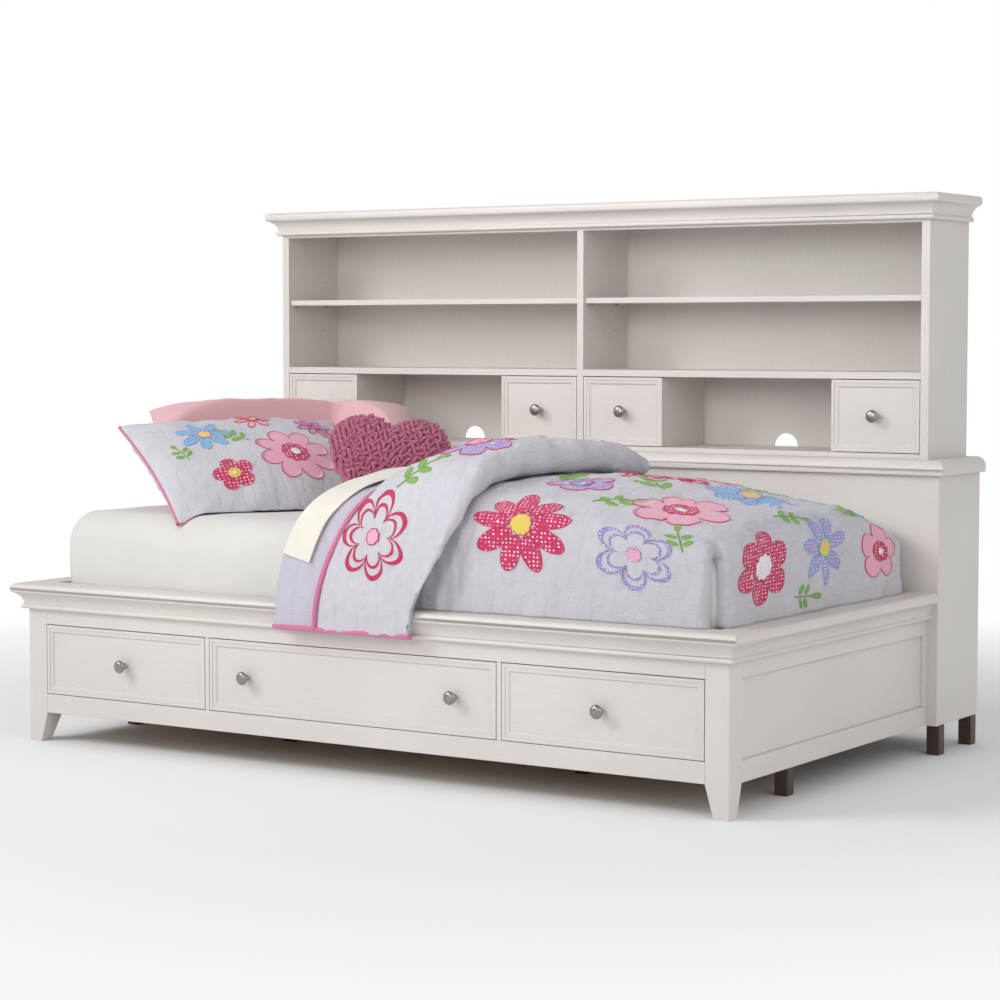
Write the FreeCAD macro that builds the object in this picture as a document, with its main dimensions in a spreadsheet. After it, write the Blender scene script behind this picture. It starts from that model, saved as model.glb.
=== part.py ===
import FreeCAD, Part
import math
import os
import re

import Sketcher
from FreeCAD import Vector

# A single bed that stands lengthways along a wall. Three drawers run out under its front, framed
# panels close its ends, and a bookcase on a plain cabinet fills the whole length of its back.
# Millimetres. X runs along the bed, Y from its front to its back, Z up from the floor.

os.makedirs("parts", exist_ok=True)
doc = FreeCAD.newDocument("BookcaseBed")

# Driving dimensions.
SIZES = {
    # bed frame
    "bed_length": 2050,  # over the outer faces of the end frames
    "bed_depth": 1040,  # from the front of the legs to the cabinet
    "leg_size": 60,
    "foot_size": 38,  # the tapered leg's side at the floor
    "foot_clear": 76,  # floor to the underside of the rails
    "rail_thick": 22,
    "bottom_rail": 49,  # height of the lower rail
    "drawer_opening": 181,  # height of the drawer openings
    "top_rail": 79,  # height of the upper rail, moulding included
    "divider": 13,  # width of the stiles between the drawers
    "centre_opening": 848,  # width of the middle drawer's opening
    "end_stile": 20,  # width of the stile at the back of an end frame
    "end_recess": 8,  # how far an end panel lies behind its frame
    "end_panel": 8,
    "rail_chamfer": 4,  # worked on the upper edge of an end frame's lower rail
    # ledge round the mattress
    "cap_thick": 25,
    "cap_out": 34,  # how far the cap's nose stands out from the rails
    "cap_width": 85,
    "cap_nose": 12,  # radius of the nose's upper edge
    "cap_under": 7,  # radius of its lower edge
    "bead_height": 11,
    "bead_out": 15,
    "cove_height": 30,
    "cove_out": 27,
    "return_length": 80,  # the front ledge's return along each end
    # drawer case and mattress support
    "case_clear": 100,  # floor to the underside of the drawer case
    "case_depth": 450,  # length of the partitions behind the rails
    "case_back": 18,
    "case_foot": 34,  # side of a square support foot
    "case_foot_inset": 9,  # from an end frame to the support foot beside it
    "case_foot_place": 340,  # from the front of the legs to a support foot
    "ledger_height": 38,
    "ledger_thick": 22,
    "slat_thick": 18,
    "slat_width": 70,
    "slat_margin": 70,  # from the end frame to the first slat
    "mattress_sink": 65,  # how far the mattress lies below the cap's top
    # cabinet behind the bed
    "base_out": 28,  # how far each cabinet side stands out past the end frame
    "base_height": 701,  # floor to the underside of its moulding
    "base_board": 18,
    "base_cap_thick": 39,
    "base_cap_out": 16,
    "base_cap_round": 24,  # radius of its upper edge
    "base_cap_under": 4,  # radius of its lower edge
    "base_cap_width": 60,
    "base_foot": 35,
    "base_foot_inset": 17,
    # bookcase
    "hutch_length": 2030,
    "hutch_depth": 242,
    "hutch_setback": 16,  # from the cabinet's front to the bookcase's
    "side_thick": 22,
    "centre_thick": 19,
    "deck_thick": 13,
    "small_drawer_space": 186,  # deck to fixed shelf
    "fixed_shelf": 18,
    "middle_space": 178,  # fixed shelf to adjustable shelf
    "loose_shelf": 15,
    "loose_shelf_setback": 8,
    "loose_shelf_play": 1,  # at each end of an adjustable shelf
    "header_under": 1330,  # floor to the underside of the header
    "header_height": 48,
    "header_thick": 18,
    "top_thick": 24,
    "top_out": 37,
    "top_nose": 11,
    "top_under": 8,
    "crown_bead": 12,
    "crown_bead_out": 14,
    "crown_cove": 29,
    "crown_cove_out": 30,
    "back_thick": 6,
    "cable_radius": 35,
    # shelf pins
    "pin_radius": 2.5,
    "pin_fit": 0.1,  # between a pin and its hole, all round
    "pin_hole_depth": 8,
    "pin_length": 16,
    "pin_front": 33,  # first row of holes, from the front edge
    "pin_rows": 139,  # between the two rows
    "pin_pitch": 70,
    # drawers
    "front_thick": 20,
    "front_gap": 2,  # round an inset drawer front
    "border_flat": 8,
    "border_step": 2,
    "border_width": 20,
    "panel_recess": 6,
    "border_bevel": 3.5,
    "box_wall": 13,
    "box_bottom": 6,
    "box_gap": 6,  # between a drawer box and the case beside it
    "box_lift": 6,  # between a drawer box and what lies under it
    "bed_box_height": 132,
    "bed_box_depth": 400,
    "small_front": 242,  # width of a small drawer's front
    "small_wall": 18,
    "small_box_height": 120,
    "small_box_depth": 190,
    "runner_height": 14,
    "runner_fit": 0.3,  # above and below a runner in its groove
    "groove_depth": 7,
    "runner_up": 50,  # from the box's underside to its groove
    "knob_radius": 16.5,
    "knob_out": 27,
    "knob_base": 8,
    "knob_foot": 1.9,  # thickness of its base
    "knob_stem": 5.5,
    "knob_head": 16,  # length of its head
    "knob_crown": 7.6,  # from its widest place to its end
    "knob_dome": 1.6,  # height of the dome on its end
    "knob_crown_radius": 11.9,
    "knob_screw": 2,
    "knob_screw_fit": 0.3,
    "knob_spread": 612,  # between the middle drawer's two knobs
    # joining hardware
    "bracket_leg": 40,
    "bracket_wide": 30,
    "bracket_thick": 3,
    "bracket_hole": 24,  # from the bracket's corner to its hole
    "bolt_radius": 4,
    "bolt_fit": 0.5,
    "bolt_head": 5,  # thickness of its head and of its nut
    "bolt_head_radius": 7.6,
    "low_bracket": 170,  # floor to the lower brackets' middle
    "high_bracket": 265,  # floor to the upper brackets' middle
    # bedding
    "mattress_length": 1936,
    "mattress_width": 975,
    "mattress_thick": 250,
    "mattress_round": 84,  # of its upper edges
    "mattress_corner": 86,  # of its corners, seen from above
    "mattress_edge": 25,  # of its lower edges
    "soft_gap": 0.4,  # between soft things and what they lie on
    "quilt_left": -88,  # where the quilt starts, from the middle of the bed
    "quilt_end": 20,  # how far it stands out past the mattress's right end
    "quilt_front": 32,  # how far it stands out past the mattress's front
    "quilt_puff": 120,  # how far its top stands above the mattress
    "quilt_fall_front": 45,  # from its crown to its front edge
    "quilt_fall_back": 95,  # from its crown to its back edge
    "quilt_round": 75,  # of its upper edges
    "hem_thick": 12,  # the quilt's fold where it hangs over the ledge
    "hem_height": 352,  # floor to the fold's hem
    "fold_left": -190,  # the hem's ends, from the middle of the bed
    "fold_right": 215,
    "fold_roll": 100,  # thickness of the fold on top of the quilt
    "sheet_thick": 5,
    "sheet_gap": 1.7,  # between the top sheet and the fold
    "sheet_hem": 512,  # floor to the top sheet's lower edge
    "sheet_show": 85,  # width of the top sheet that shows on the fold
    "pillow_length": 720,
    "pillow_width": 480,
    "pillow_thick": 205,
    "sham_length": 610,
    "sham_width": 465,
    "sham_thick": 160,
    "pillow_seam": 4,  # half the thickness of a pillow's edge
    "pillow_draw": 22,  # how far a pillow's sides pull in between its corners
    "heart_width": 330,
    "heart_thick": 110,
}

sheet = doc.addObject("Spreadsheet::Sheet", "Sizes")
for row, (name, size) in enumerate(SIZES.items(), 1):
    sheet.set(f"A{row}", name)
    sheet.set(f"B{row}", str(size))
    sheet.setAlias(f"B{row}", name)
doc.recompute()


def tie(formula):
    """The formula with the sheet's name before each size."""
    return re.sub(r"[a-z][a-z_]+", lambda m: "Sizes." + m[0] if m[0] in SIZES else m[0], formula)


def mm(formula):
    """The number that a formula stands for now."""
    return float(sheet.evalExpression(tie(formula)))


def bind(thing, name, formula):
    thing.setExpression(name, tie(formula))


# Places that many pieces share. Y0 is the front face of the legs: it puts the middle of the whole
# object, from the quilt's hem to the bookcase's back, over the origin.
Y0 = "((cap_out + soft_gap + hem_thick - bed_depth - hutch_setback - hutch_depth) / 2)"
HALF = "(bed_length / 2)"
OPENING_LOW = "(foot_clear + bottom_rail)"
OPENING_TOP = f"({OPENING_LOW} + drawer_opening)"
RAIL_TOP = f"({OPENING_TOP} + top_rail)"
CAP_TOP = f"({RAIL_TOP} + cap_thick)"
MATTRESS_LOW = f"({CAP_TOP} - mattress_sink)"
MATTRESS_TOP = f"({MATTRESS_LOW} + mattress_thick)"
SLAT_LOW = f"({MATTRESS_LOW} - slat_thick)"
CASE_TOP = f"({SLAT_LOW} - ledger_height)"
CASE_END = "(rail_thick + case_depth)"
BASE_HALF = f"({HALF} + base_out)"
BACK = "(bed_depth + hutch_setback + hutch_depth)"
BACK_FACE = f"({BACK} - back_thick)"
DECK_LOW = "(base_height + base_cap_thick)"
DECK_TOP = f"({DECK_LOW} + deck_thick)"
SHELF_LOW = f"({DECK_TOP} + small_drawer_space)"
SHELF_TOP = f"({SHELF_LOW} + fixed_shelf)"
LOOSE_LOW = f"({SHELF_TOP} + middle_space)"
HEADER_TOP = "(header_under + header_height)"
HUTCH_FRONT = "(bed_depth + hutch_setback)"
HUTCH_HALF = "(hutch_length / 2)"
BAY_OUT = f"({HUTCH_HALF} - side_thick)"
BAY_IN = "(centre_thick / 2)"


def back_from_front(formula):
    """A place along Y, given from the front face of the legs."""
    return f"{Y0} + {formula}"


# Boards and groups -----------------------------------------------------------------------------


def board(label, low, size):
    """A board from its lowest corner, with Y given from the front face of the legs."""
    box = doc.addObject("Part::Box", label)
    box.Label = label
    for name, formula in zip(("Length", "Width", "Height"), size):
        bind(box, name, formula)
    places = (low[0], back_from_front(low[1]), low[2])
    for axis, formula in zip("xyz", places):
        bind(box, f"Placement.Base.{axis}", formula)
    return box


def group(label, pieces):
    """Like pieces that share a node, each still a solid of its own."""
    joined = doc.addObject("Part::Compound", label)
    joined.Label = label
    joined.Links = pieces
    return joined


def both_ends(label, make):
    """The same piece at the left end and at the right end."""
    return group(label, [make(f"{label}_left", -1), make(f"{label}_right", 1)])


def span(side, inner, outer):
    """Lowest X and width of a piece between two distances from the middle, on one side."""
    low = inner if side > 0 else f"-({outer})"
    return low, f"({outer}) - ({inner})"


# Bodies with sketches ---------------------------------------------------------------------------


def new_body(label, place):
    body = doc.addObject("PartDesign::Body", label)
    body.Label = label
    places = (place[0], back_from_front(place[1]), place[2])
    for axis, formula in zip("xyz", places):
        bind(body, f"Placement.Base.{axis}", formula)
    return body


def new_sketch(body, plane, offset="0"):
    sketch = body.newObject("Sketcher::SketchObject", f"{body.Name}_{plane[:2]}")
    origin_plane = next(f for f in body.Origin.OriginFeatures if f.Role == plane)
    sketch.AttachmentSupport = [(origin_plane, "")]
    sketch.MapMode = "FlatFace"
    bind(sketch, "AttachmentOffset.Base.z", offset)
    return sketch


def hold(sketch, kind, edge, end, formula):
    """Hold one end of an edge at a distance from the sketch's origin."""
    number = sketch.addConstraint(Sketcher.Constraint(kind, -1, 1, edge, end, mm(formula)))
    name = f"{kind}{number}"
    sketch.renameConstraint(number, name)
    bind(sketch, f"Constraints.{name}", formula)


def arc_between(start, end, radius, turn):
    """An arc of less than half a circle; turn 1 runs anticlockwise and -1 clockwise."""
    middle = (start + end) / 2
    chord = end - start
    rise = math.sqrt(max(radius**2 - (chord.Length / 2) ** 2, 0))
    aside = Vector(-chord.y, chord.x, 0).normalize()
    centre = middle + aside * (rise * turn)
    angles = [math.atan2(p.y - centre.y, p.x - centre.x) for p in (start, end)]
    if turn < 0:
        angles.reverse()
    if angles[1] < angles[0]:
        angles[1] += 2 * math.pi
    circle = Part.Circle(centre, Vector(0, 0, 1), radius)
    return Part.ArcOfCircle(circle, angles[0], angles[1])


def outline(sketch, corners):
    """A closed outline. A corner is (across, up), and one that an arc leads to also has the arc's
    radius and its turn."""
    points = [Vector(mm(c[0]), mm(c[1]), 0) for c in corners]
    first = sketch.GeometryCount
    ends = []
    for i, corner in enumerate(corners):
        start, end = points[i - 1], points[i]
        if len(corner) == 2:
            sketch.addGeometry(Part.LineSegment(start, end))
            ends.append((1, 2))
        else:
            radius, turn = corner[2:]
            edge = sketch.addGeometry(arc_between(start, end, mm(radius), turn))
            ends.append((1, 2) if turn > 0 else (2, 1))
            number = sketch.addConstraint(Sketcher.Constraint("Radius", edge, mm(radius)))
            sketch.renameConstraint(number, f"Radius{number}")
            bind(sketch, f"Constraints.Radius{number}", radius)
    for i, corner in enumerate(corners):
        edge, after = first + i, first + (i + 1) % len(corners)
        joint = (edge, ends[i][1], after, ends[(i + 1) % len(corners)][0])
        sketch.addConstraint(Sketcher.Constraint("Coincident", *joint))
        hold(sketch, "DistanceX", edge, ends[i][1], corner[0])
        hold(sketch, "DistanceY", edge, ends[i][1], corner[1])
    return sketch


def rectangle(sketch, low, high):
    """A rectangle between two opposite corners."""
    return outline(sketch, [low, (high[0], low[1]), high, (low[0], high[1])])


def circle(sketch, across, up, radius):
    ring = Part.Circle(Vector(mm(across), mm(up), 0), Vector(0, 0, 1), mm(radius))
    edge = sketch.addGeometry(ring)
    hold(sketch, "DistanceX", edge, 3, across)
    hold(sketch, "DistanceY", edge, 3, up)
    number = sketch.addConstraint(Sketcher.Constraint("Radius", edge, mm(radius)))
    sketch.renameConstraint(number, f"Radius{number}")
    bind(sketch, f"Constraints.Radius{number}", radius)


def pad(body, sketch, length, both_ways=False, backwards=False):
    feature = body.newObject("PartDesign::Pad", f"{body.Name}_pad")
    feature.Profile = sketch
    feature.SideType = "Symmetric" if both_ways else "One side"
    feature.Reversed = backwards
    bind(feature, "Length", length)
    doc.recompute()
    return feature


def pocket(body, sketch, depth=None, backwards=False):
    """A pocket of a given depth, or right through both ways. It has to take material away."""
    before = body.Shape.Volume
    feature = body.newObject("PartDesign::Pocket", f"{body.Name}_pocket")
    feature.Profile = sketch
    feature.Reversed = backwards
    if depth is None:
        feature.Type = "ThroughAll"
        feature.SideType = "Symmetric"
    else:
        bind(feature, "Length", depth)
    doc.recompute()
    if body.Shape.Volume > before - 1e-6:
        raise RuntimeError(f"{body.Label}: a pocket cuts nothing")
    return feature


def edges_where(body, test):
    """Names of the edges whose middle and direction pass a test."""
    names = []
    for i, edge in enumerate(body.Shape.Edges, 1):
        middle = edge.valueAt((edge.FirstParameter + edge.LastParameter) / 2)
        if test(body.Placement.inverse().multVec(middle), edge):
            names.append(f"Edge{i}")
    return names


def dress(body, kind, test, size):
    """Chamfer or round the edges of a body that pass a test."""
    base, names = body.Tip, edges_where(body, test)
    feature = body.newObject(f"PartDesign::{kind}", f"{body.Name}_{kind}")
    feature.Base = (base, names)
    bind(feature, "Size" if kind == "Chamfer" else "Radius", size)
    doc.recompute()
    return feature


# Bed frame --------------------------------------------------------------------------------------


def front_leg(label, side):
    """A square post whose foot tapers on its two inner faces."""
    body = new_body(label, (f"{side} * {HALF}", "0", "0"))
    post = new_sketch(body, "XY_Plane", "foot_clear")
    rectangle(post, ("0", "0"), (f"-{side} * leg_size", "leg_size"))
    pad(body, post, f"{RAIL_TOP} - foot_clear")
    foot = new_sketch(body, "XY_Plane")
    rectangle(foot, ("0", "0"), (f"-{side} * foot_size", "foot_size"))
    taper = body.newObject("PartDesign::AdditiveLoft", f"{label}_taper")
    taper.Profile = foot
    taper.Sections = [post]
    taper.Ruled = True
    doc.recompute()
    return body


def lower_rail(label, low, size):
    """A lower rail from its lowest corner; size is (along X, along Y)."""
    body = new_body(label, low)
    base = new_sketch(body, "XY_Plane")
    rectangle(base, ("0", "0"), size)
    pad(body, base, "bottom_rail")
    return body


def front_frame():
    """Face frame round the three drawers: two rails and the stiles between the openings."""
    inner = f"({HALF} - leg_size)"
    length = f"2 * {inner}"
    body = lower_rail("front_frame_bottom", (f"-{inner}", "0", "foot_clear"), (length, "rail_thick"))
    size = (length, "rail_thick", "top_rail")
    top = board("front_frame_top", (f"-{inner}", "0", OPENING_TOP), size)
    stiles = []
    for side in (-1, 1):
        low, width = span(side, "centre_opening / 2", "centre_opening / 2 + divider")
        name = f"front_frame_stile{len(stiles) + 1}"
        size = (width, "rail_thick", "drawer_opening")
        stiles.append(board(name, (low, "0", OPENING_LOW), size))
    return group("front_frame", [body, top] + stiles)


def end_frame(label, side):
    """Rails and rear stile of an end frame, behind the leg."""
    length = "(bed_depth - leg_size)"
    outer_low = f"{HALF} - rail_thick"
    low, width = span(side, outer_low, HALF)
    upper = board(f"{label}_top", (low, "leg_size", OPENING_TOP), (width, length, "top_rail"))
    body = lower_rail(f"{label}_bottom", (low, "leg_size", "foot_clear"), ("rail_thick", length))
    outer_x = mm("rail_thick") if side > 0 else 0

    def upper_outer(middle, edge):
        return abs(middle.x - outer_x) < 0.01 and abs(middle.z - mm("bottom_rail")) < 0.01

    dress(body, "Chamfer", upper_outer, "rail_chamfer")
    stile_size = (width, "end_stile", "drawer_opening")
    stile = board(f"{label}_stile", (low, "bed_depth - end_stile", OPENING_LOW), stile_size)
    return group(label, [upper, body, stile])


def end_panel(label, side):
    low, width = span(side, f"{HALF} - end_recess - end_panel", f"{HALF} - end_recess")
    length = "bed_depth - leg_size - end_stile"
    return board(label, (low, "leg_size", OPENING_LOW), (width, length, "drawer_opening"))


# Mouldings --------------------------------------------------------------------------------------
# A stick is drawn in section with its outside towards -Y and its back at Y 0, padded along X and
# mitred, and then turned round Z for the ends.


def cap_section(sketch, out, inner, thick, nose, under):
    """A board with a rounded nose."""
    corners = [
        (inner, "0"),
        (f"-{out} + {under}", "0"),
        (f"-{out}", under, under, -1),
        (f"-{out}", f"{thick} - {nose}"),
        (f"-{out} + {nose}", thick, nose, -1),
        (inner, thick),
    ]
    return outline(sketch, corners)


COVE_SWEEP = 1.05  # a cove's radius for each millimetre of its height


def cove_section(sketch, bead, bead_out, cove, cove_out):
    """A half-round bead under a cove."""
    half = f"{bead} / 2"
    rise = f"{bead} + {cove}"
    foot = f"-{bead_out} + {half}"
    return outline(
        sketch,
        [
            ("0", "0"),
            (foot, "0"),
            (f"-{bead_out}", half, half, -1),
            (foot, bead, half, -1),
            (f"-{cove_out}", rise, f"{cove} * {COVE_SWEEP}", 1),
            ("0", rise),
        ],
    )


def mitre(body, corner, out, inner, way):
    """Take the end of a stick off at 45 degrees, on the way side of (corner, 0)."""
    cut = new_sketch(body, "XY_Plane")
    beyond = f"{corner} + {way} * ({out} + 1)"
    outline(
        cut,
        [
            (f"{corner} - {way} * ({inner} + 1)", f"{inner} + 1"),
            (beyond, f"-{out} - 1"),
            (beyond, f"{inner} + 1"),
        ],
    )
    pocket(body, cut)


def front_stick(label, section, half, y, z, out, inner):
    """The stick across the front, mitred at both ends."""
    body = new_body(label, ("0", y, z))
    pad(body, section(new_sketch(body, "YZ_Plane")), f"2 * ({half} + {out})", both_ways=True)
    for side in (-1, 1):
        mitre(body, f"{side} * {half}", out, inner, side)
    return body


def end_stick(label, section, side, half, y, z, length, out="0", inner=None):
    """A stick along one end, from y to the back, mitred at its front where inner is given."""
    body = new_body(label, (f"{side} * {half}", y, z))
    body.Placement.Rotation = FreeCAD.Rotation(Vector(0, 0, 1), 90 * side)
    start = f"-({out})" if side > 0 else f"-({length})"
    pad(body, section(new_sketch(body, "YZ_Plane", start)), f"{length} + {out}")
    if inner is not None:
        mitre(body, "0", out, inner, -side)
    return body


def ledge_cap(sketch):
    inner = "cap_width - cap_out"
    return cap_section(sketch, "cap_out", inner, "cap_thick", "cap_nose", "cap_under")


def ledge_cove(sketch):
    return cove_section(sketch, "bead_height", "bead_out", "cove_height", "cove_out")


def hutch_cove(sketch):
    return cove_section(sketch, "crown_bead", "crown_bead_out", "crown_cove", "crown_cove_out")


def base_cap(sketch):
    sizes = ("base_cap_width - base_cap_out", "base_cap_thick", "base_cap_round", "base_cap_under")
    return cap_section(sketch, "base_cap_out", *sizes)


def wrapped_moulding(label, section, half, y, z, length, out, inner):
    """Three mitred sticks round the front and both ends."""
    sticks = [front_stick(f"{label}_front", section, half, y, z, out, inner)]
    for name, side in (("left", -1), ("right", 1)):
        sticks.append(end_stick(f"{label}_{name}", section, side, half, y, z, length, out, inner))
    return group(label, sticks)


def end_ledge(label, side):
    """Cap and cove along one end, from the front ledge's return to the cabinet."""
    run = ("return_length", "bed_depth - return_length")
    cove_z = f"{RAIL_TOP} - bead_height - cove_height"
    cap = end_stick(f"{label}_cap", ledge_cap, side, HALF, run[0], RAIL_TOP, run[1])
    cove = end_stick(f"{label}_cove", ledge_cove, side, HALF, run[0], cove_z, run[1])
    return group(label, [cap, cove])


def ledge():
    """Cap and cove round the front, and their straight runs along both ends."""
    run = "return_length"
    cap = (HALF, "0", RAIL_TOP, run, "cap_out", "(cap_width - cap_out)")
    wrapped_moulding("front_ledge_cap", ledge_cap, *cap)
    cove_z = f"{RAIL_TOP} - bead_height - cove_height"
    wrapped_moulding("front_ledge_cove", ledge_cove, HALF, "0", cove_z, run, "cove_out", "0")
    both_ends("end_ledges", end_ledge)


# Drawer case and slats --------------------------------------------------------------------------


def drawer_case():
    """Partitions beside the drawers, and the board behind them."""
    boards = []
    leg_inner = f"({HALF} - leg_size)"
    lengths = f"{CASE_END} - leg_size", "case_depth"
    places = ((leg_inner, "leg_size", lengths[0]), ("(centre_opening / 2)", "rail_thick", lengths[1]))
    for inner, front, length in places:
        for side in (-1, 1):
            low, width = span(side, inner, f"{inner} + divider")
            size = (width, length, f"{CASE_TOP} - case_clear")
            boards.append(board(f"drawer_case_side{len(boards) + 1}", (low, front, "case_clear"), size))
    half = f"({HALF} - rail_thick)"
    size = (f"2 * {half}", "case_back", f"{SLAT_LOW} - case_clear")
    boards.append(board("drawer_case_back", (f"-{half}", CASE_END, "case_clear"), size))
    return group("drawer_case", boards)


def support_feet():
    """Dark square feet under the drawer case and under the cabinet's corners."""
    feet = []
    for side in (-1, 1):
        for inner in (f"{HALF} - rail_thick - case_foot_inset - case_foot", "centre_opening / 2"):
            low, width = span(side, inner, f"{inner} + case_foot")
            size = ("case_foot", "case_foot", "case_clear")
            feet.append(board(f"support_foot{len(feet) + 1}", (low, "case_foot_place", "0"), size))
        low, width = span(side, f"{BASE_HALF} - base_foot", BASE_HALF)
        for y in ("bed_depth + base_foot_inset", f"{BACK_FACE} - base_foot"):
            size = ("base_foot", "base_foot", "foot_clear")
            feet.append(board(f"support_foot{len(feet) + 1}", (low, y, "0"), size))
    return group("support_feet", feet)


def slat_ledgers():
    front = f"({HALF} - leg_size)"
    back = f"({HALF} - rail_thick)"
    front_size = (f"2 * {front}", "ledger_thick", "ledger_height")
    back_size = (f"2 * {back}", "ledger_thick", "ledger_height")
    pieces = [
        board("slat_ledger_front", (f"-{front}", "rail_thick", CASE_TOP), front_size),
        board("slat_ledger_back", (f"-{back}", "bed_depth - ledger_thick", CASE_TOP), back_size),
    ]
    return group("slat_ledgers", pieces)


SLATS = 13


def bed_slats():
    pieces = []
    first = f"({HALF} - slat_margin - slat_width)"
    for i in range(SLATS):
        low = f"-{first} - slat_width + {i} * (2 * {first} + slat_width) / {SLATS - 1}"
        size = ("slat_width", "bed_depth - rail_thick", "slat_thick")
        pieces.append(board(f"bed_slat{i + 1}", (low, "rail_thick", SLAT_LOW), size))
    return group("bed_slats", pieces)


# Cabinet behind the bed -------------------------------------------------------------------------


def base_side(label, side):
    low, width = span(side, f"{BASE_HALF} - base_board", BASE_HALF)
    size = (width, "hutch_setback + hutch_depth - base_board", "base_height - foot_clear")
    return board(label, (low, "bed_depth + base_board", "foot_clear"), size)


def bracket_spots():
    """Sides and heights of the brackets that join the end frames to the cabinet."""
    return [(side, z) for side in (-1, 1) for z in ("low_bracket", "high_bracket")]


def bolt_x(side):
    return f"{side} * ({HALF} - rail_thick - bracket_hole)"


def base_front_panel():
    """Panel between the mattress and the cabinet's moulding, bored for the bolts."""
    body = new_body("base_front_panel", ("0", "bed_depth", "0"))
    face = new_sketch(body, "XZ_Plane")
    rectangle(face, (f"-{BASE_HALF}", "foot_clear"), (BASE_HALF, "base_height"))
    pad(body, face, "base_board", backwards=True)
    holes = new_sketch(body, "XZ_Plane")
    for side, z in bracket_spots():
        circle(holes, bolt_x(side), z, "bolt_radius + bolt_fit")
    pocket(body, holes)
    return body


def base_top():
    """Board inside the cabinet's moulding, under the bookcase."""
    inner = "(base_cap_width - base_cap_out)"
    half = f"({BASE_HALF} - {inner})"
    size = (f"2 * {half}", f"{BACK} - bed_depth - {inner}", "base_cap_thick")
    return board("base_top", (f"-{half}", f"bed_depth + {inner}", "base_height"), size)


def corner_bracket(label, side, z):
    """A steel angle in the corner between an end frame and the cabinet."""
    place = (f"{side} * ({HALF} - rail_thick)", "bed_depth", f"{z} - bracket_wide / 2")
    body = new_body(label, place)
    plan = new_sketch(body, "XY_Plane")
    corners = [
        ("0", "0"),
        (f"-{side} * bracket_leg", "0"),
        (f"-{side} * bracket_leg", "-bracket_thick"),
        (f"-{side} * bracket_thick", "-bracket_thick"),
        (f"-{side} * bracket_thick", "-bracket_leg"),
        ("0", "-bracket_leg"),
    ]
    outline(plan, corners)
    pad(body, plan, "bracket_wide")
    hole = new_sketch(body, "XZ_Plane")
    circle(hole, f"-{side} * bracket_hole", "bracket_wide / 2", "bolt_radius + bolt_fit")
    pocket(body, hole)
    return body


def frame_bolt(label, side, z):
    """A bolt through the cabinet's panel and a bracket, with its nut inside the cabinet."""
    body = new_body(label, (bolt_x(side), "bed_depth", z))
    half = new_sketch(body, "XY_Plane")
    head = "bolt_head_radius"
    front = "-bracket_thick"
    corners = [
        ("0", f"{front} - bolt_head"),
        (head, f"{front} - bolt_head"),
        (head, front),
        ("bolt_radius", front),
        ("bolt_radius", "base_board"),
        (head, "base_board"),
        (head, "base_board + bolt_head"),
        ("0", "base_board + bolt_head"),
    ]
    outline(half, corners)
    turned = body.newObject("PartDesign::Revolution", f"{label}_turned")
    turned.Profile = half
    turned.ReferenceAxis = (half, ["V_Axis"])
    turned.Angle = 360
    doc.recompute()
    return body


# Bookcase ---------------------------------------------------------------------------------------


def pin_holes(sketch):
    """Two rows of three holes, from the front edge and about the adjustable shelf's place."""
    for row in range(2):
        for step in (-1, 0, 1):
            y = f"pin_front + {row} * pin_rows"
            z = f"{LOOSE_LOW} - pin_radius + {step} * pin_pitch - {DECK_LOW}"
            circle(sketch, y, z, "pin_radius + pin_fit")


def hutch_side(label, side):
    """An outer side, bored on its inner face for the shelf pins."""
    body = new_body(label, (f"{side} * {HUTCH_HALF}", HUTCH_FRONT, DECK_LOW))
    face = new_sketch(body, "YZ_Plane")
    rectangle(face, ("0", "0"), ("hutch_depth", f"{HEADER_TOP} - {DECK_LOW}"))
    pad(body, face, "side_thick", backwards=side > 0)
    holes = new_sketch(body, "YZ_Plane", f"-{side} * side_thick")
    pin_holes(holes)
    pocket(body, holes, "pin_hole_depth", backwards=side > 0)
    return body


def hutch_divider():
    """The centre board, notched round the header and bored on both faces."""
    body = new_body("hutch_divider", ("0", HUTCH_FRONT, DECK_LOW))
    face = new_sketch(body, "YZ_Plane")
    low, notch, top = "deck_thick", f"header_under - {DECK_LOW}", f"{HEADER_TOP} - {DECK_LOW}"
    deep = "hutch_depth - back_thick"
    inner = "header_thick"
    corners = [("0", low), (deep, low), (deep, top), (inner, top), (inner, notch), ("0", notch)]
    outline(face, corners)
    pad(body, face, "centre_thick", both_ways=True)
    for side in (-1, 1):
        holes = new_sketch(body, "YZ_Plane", f"{side} * {BAY_IN}")
        pin_holes(holes)
        pocket(body, holes, "pin_hole_depth", backwards=side < 0)
    return body


def inner_depth(setback="0"):
    return f"hutch_depth - back_thick - {setback}"


def hutch_deck():
    size = (f"2 * {BAY_OUT}", inner_depth(), "deck_thick")
    return board("hutch_deck", (f"-{BAY_OUT}", HUTCH_FRONT, DECK_LOW), size)


def fixed_shelf(label, side):
    low, width = span(side, BAY_IN, BAY_OUT)
    return board(label, (low, HUTCH_FRONT, SHELF_LOW), (width, inner_depth(), "fixed_shelf"))


def loose_shelf(label, side):
    low, width = span(side, f"{BAY_IN} + loose_shelf_play", f"{BAY_OUT} - loose_shelf_play")
    front = f"{HUTCH_FRONT} + loose_shelf_setback"
    size = (width, inner_depth("(loose_shelf_setback + loose_shelf_play)"), "loose_shelf")
    return board(label, (low, front, LOOSE_LOW), size)


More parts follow.
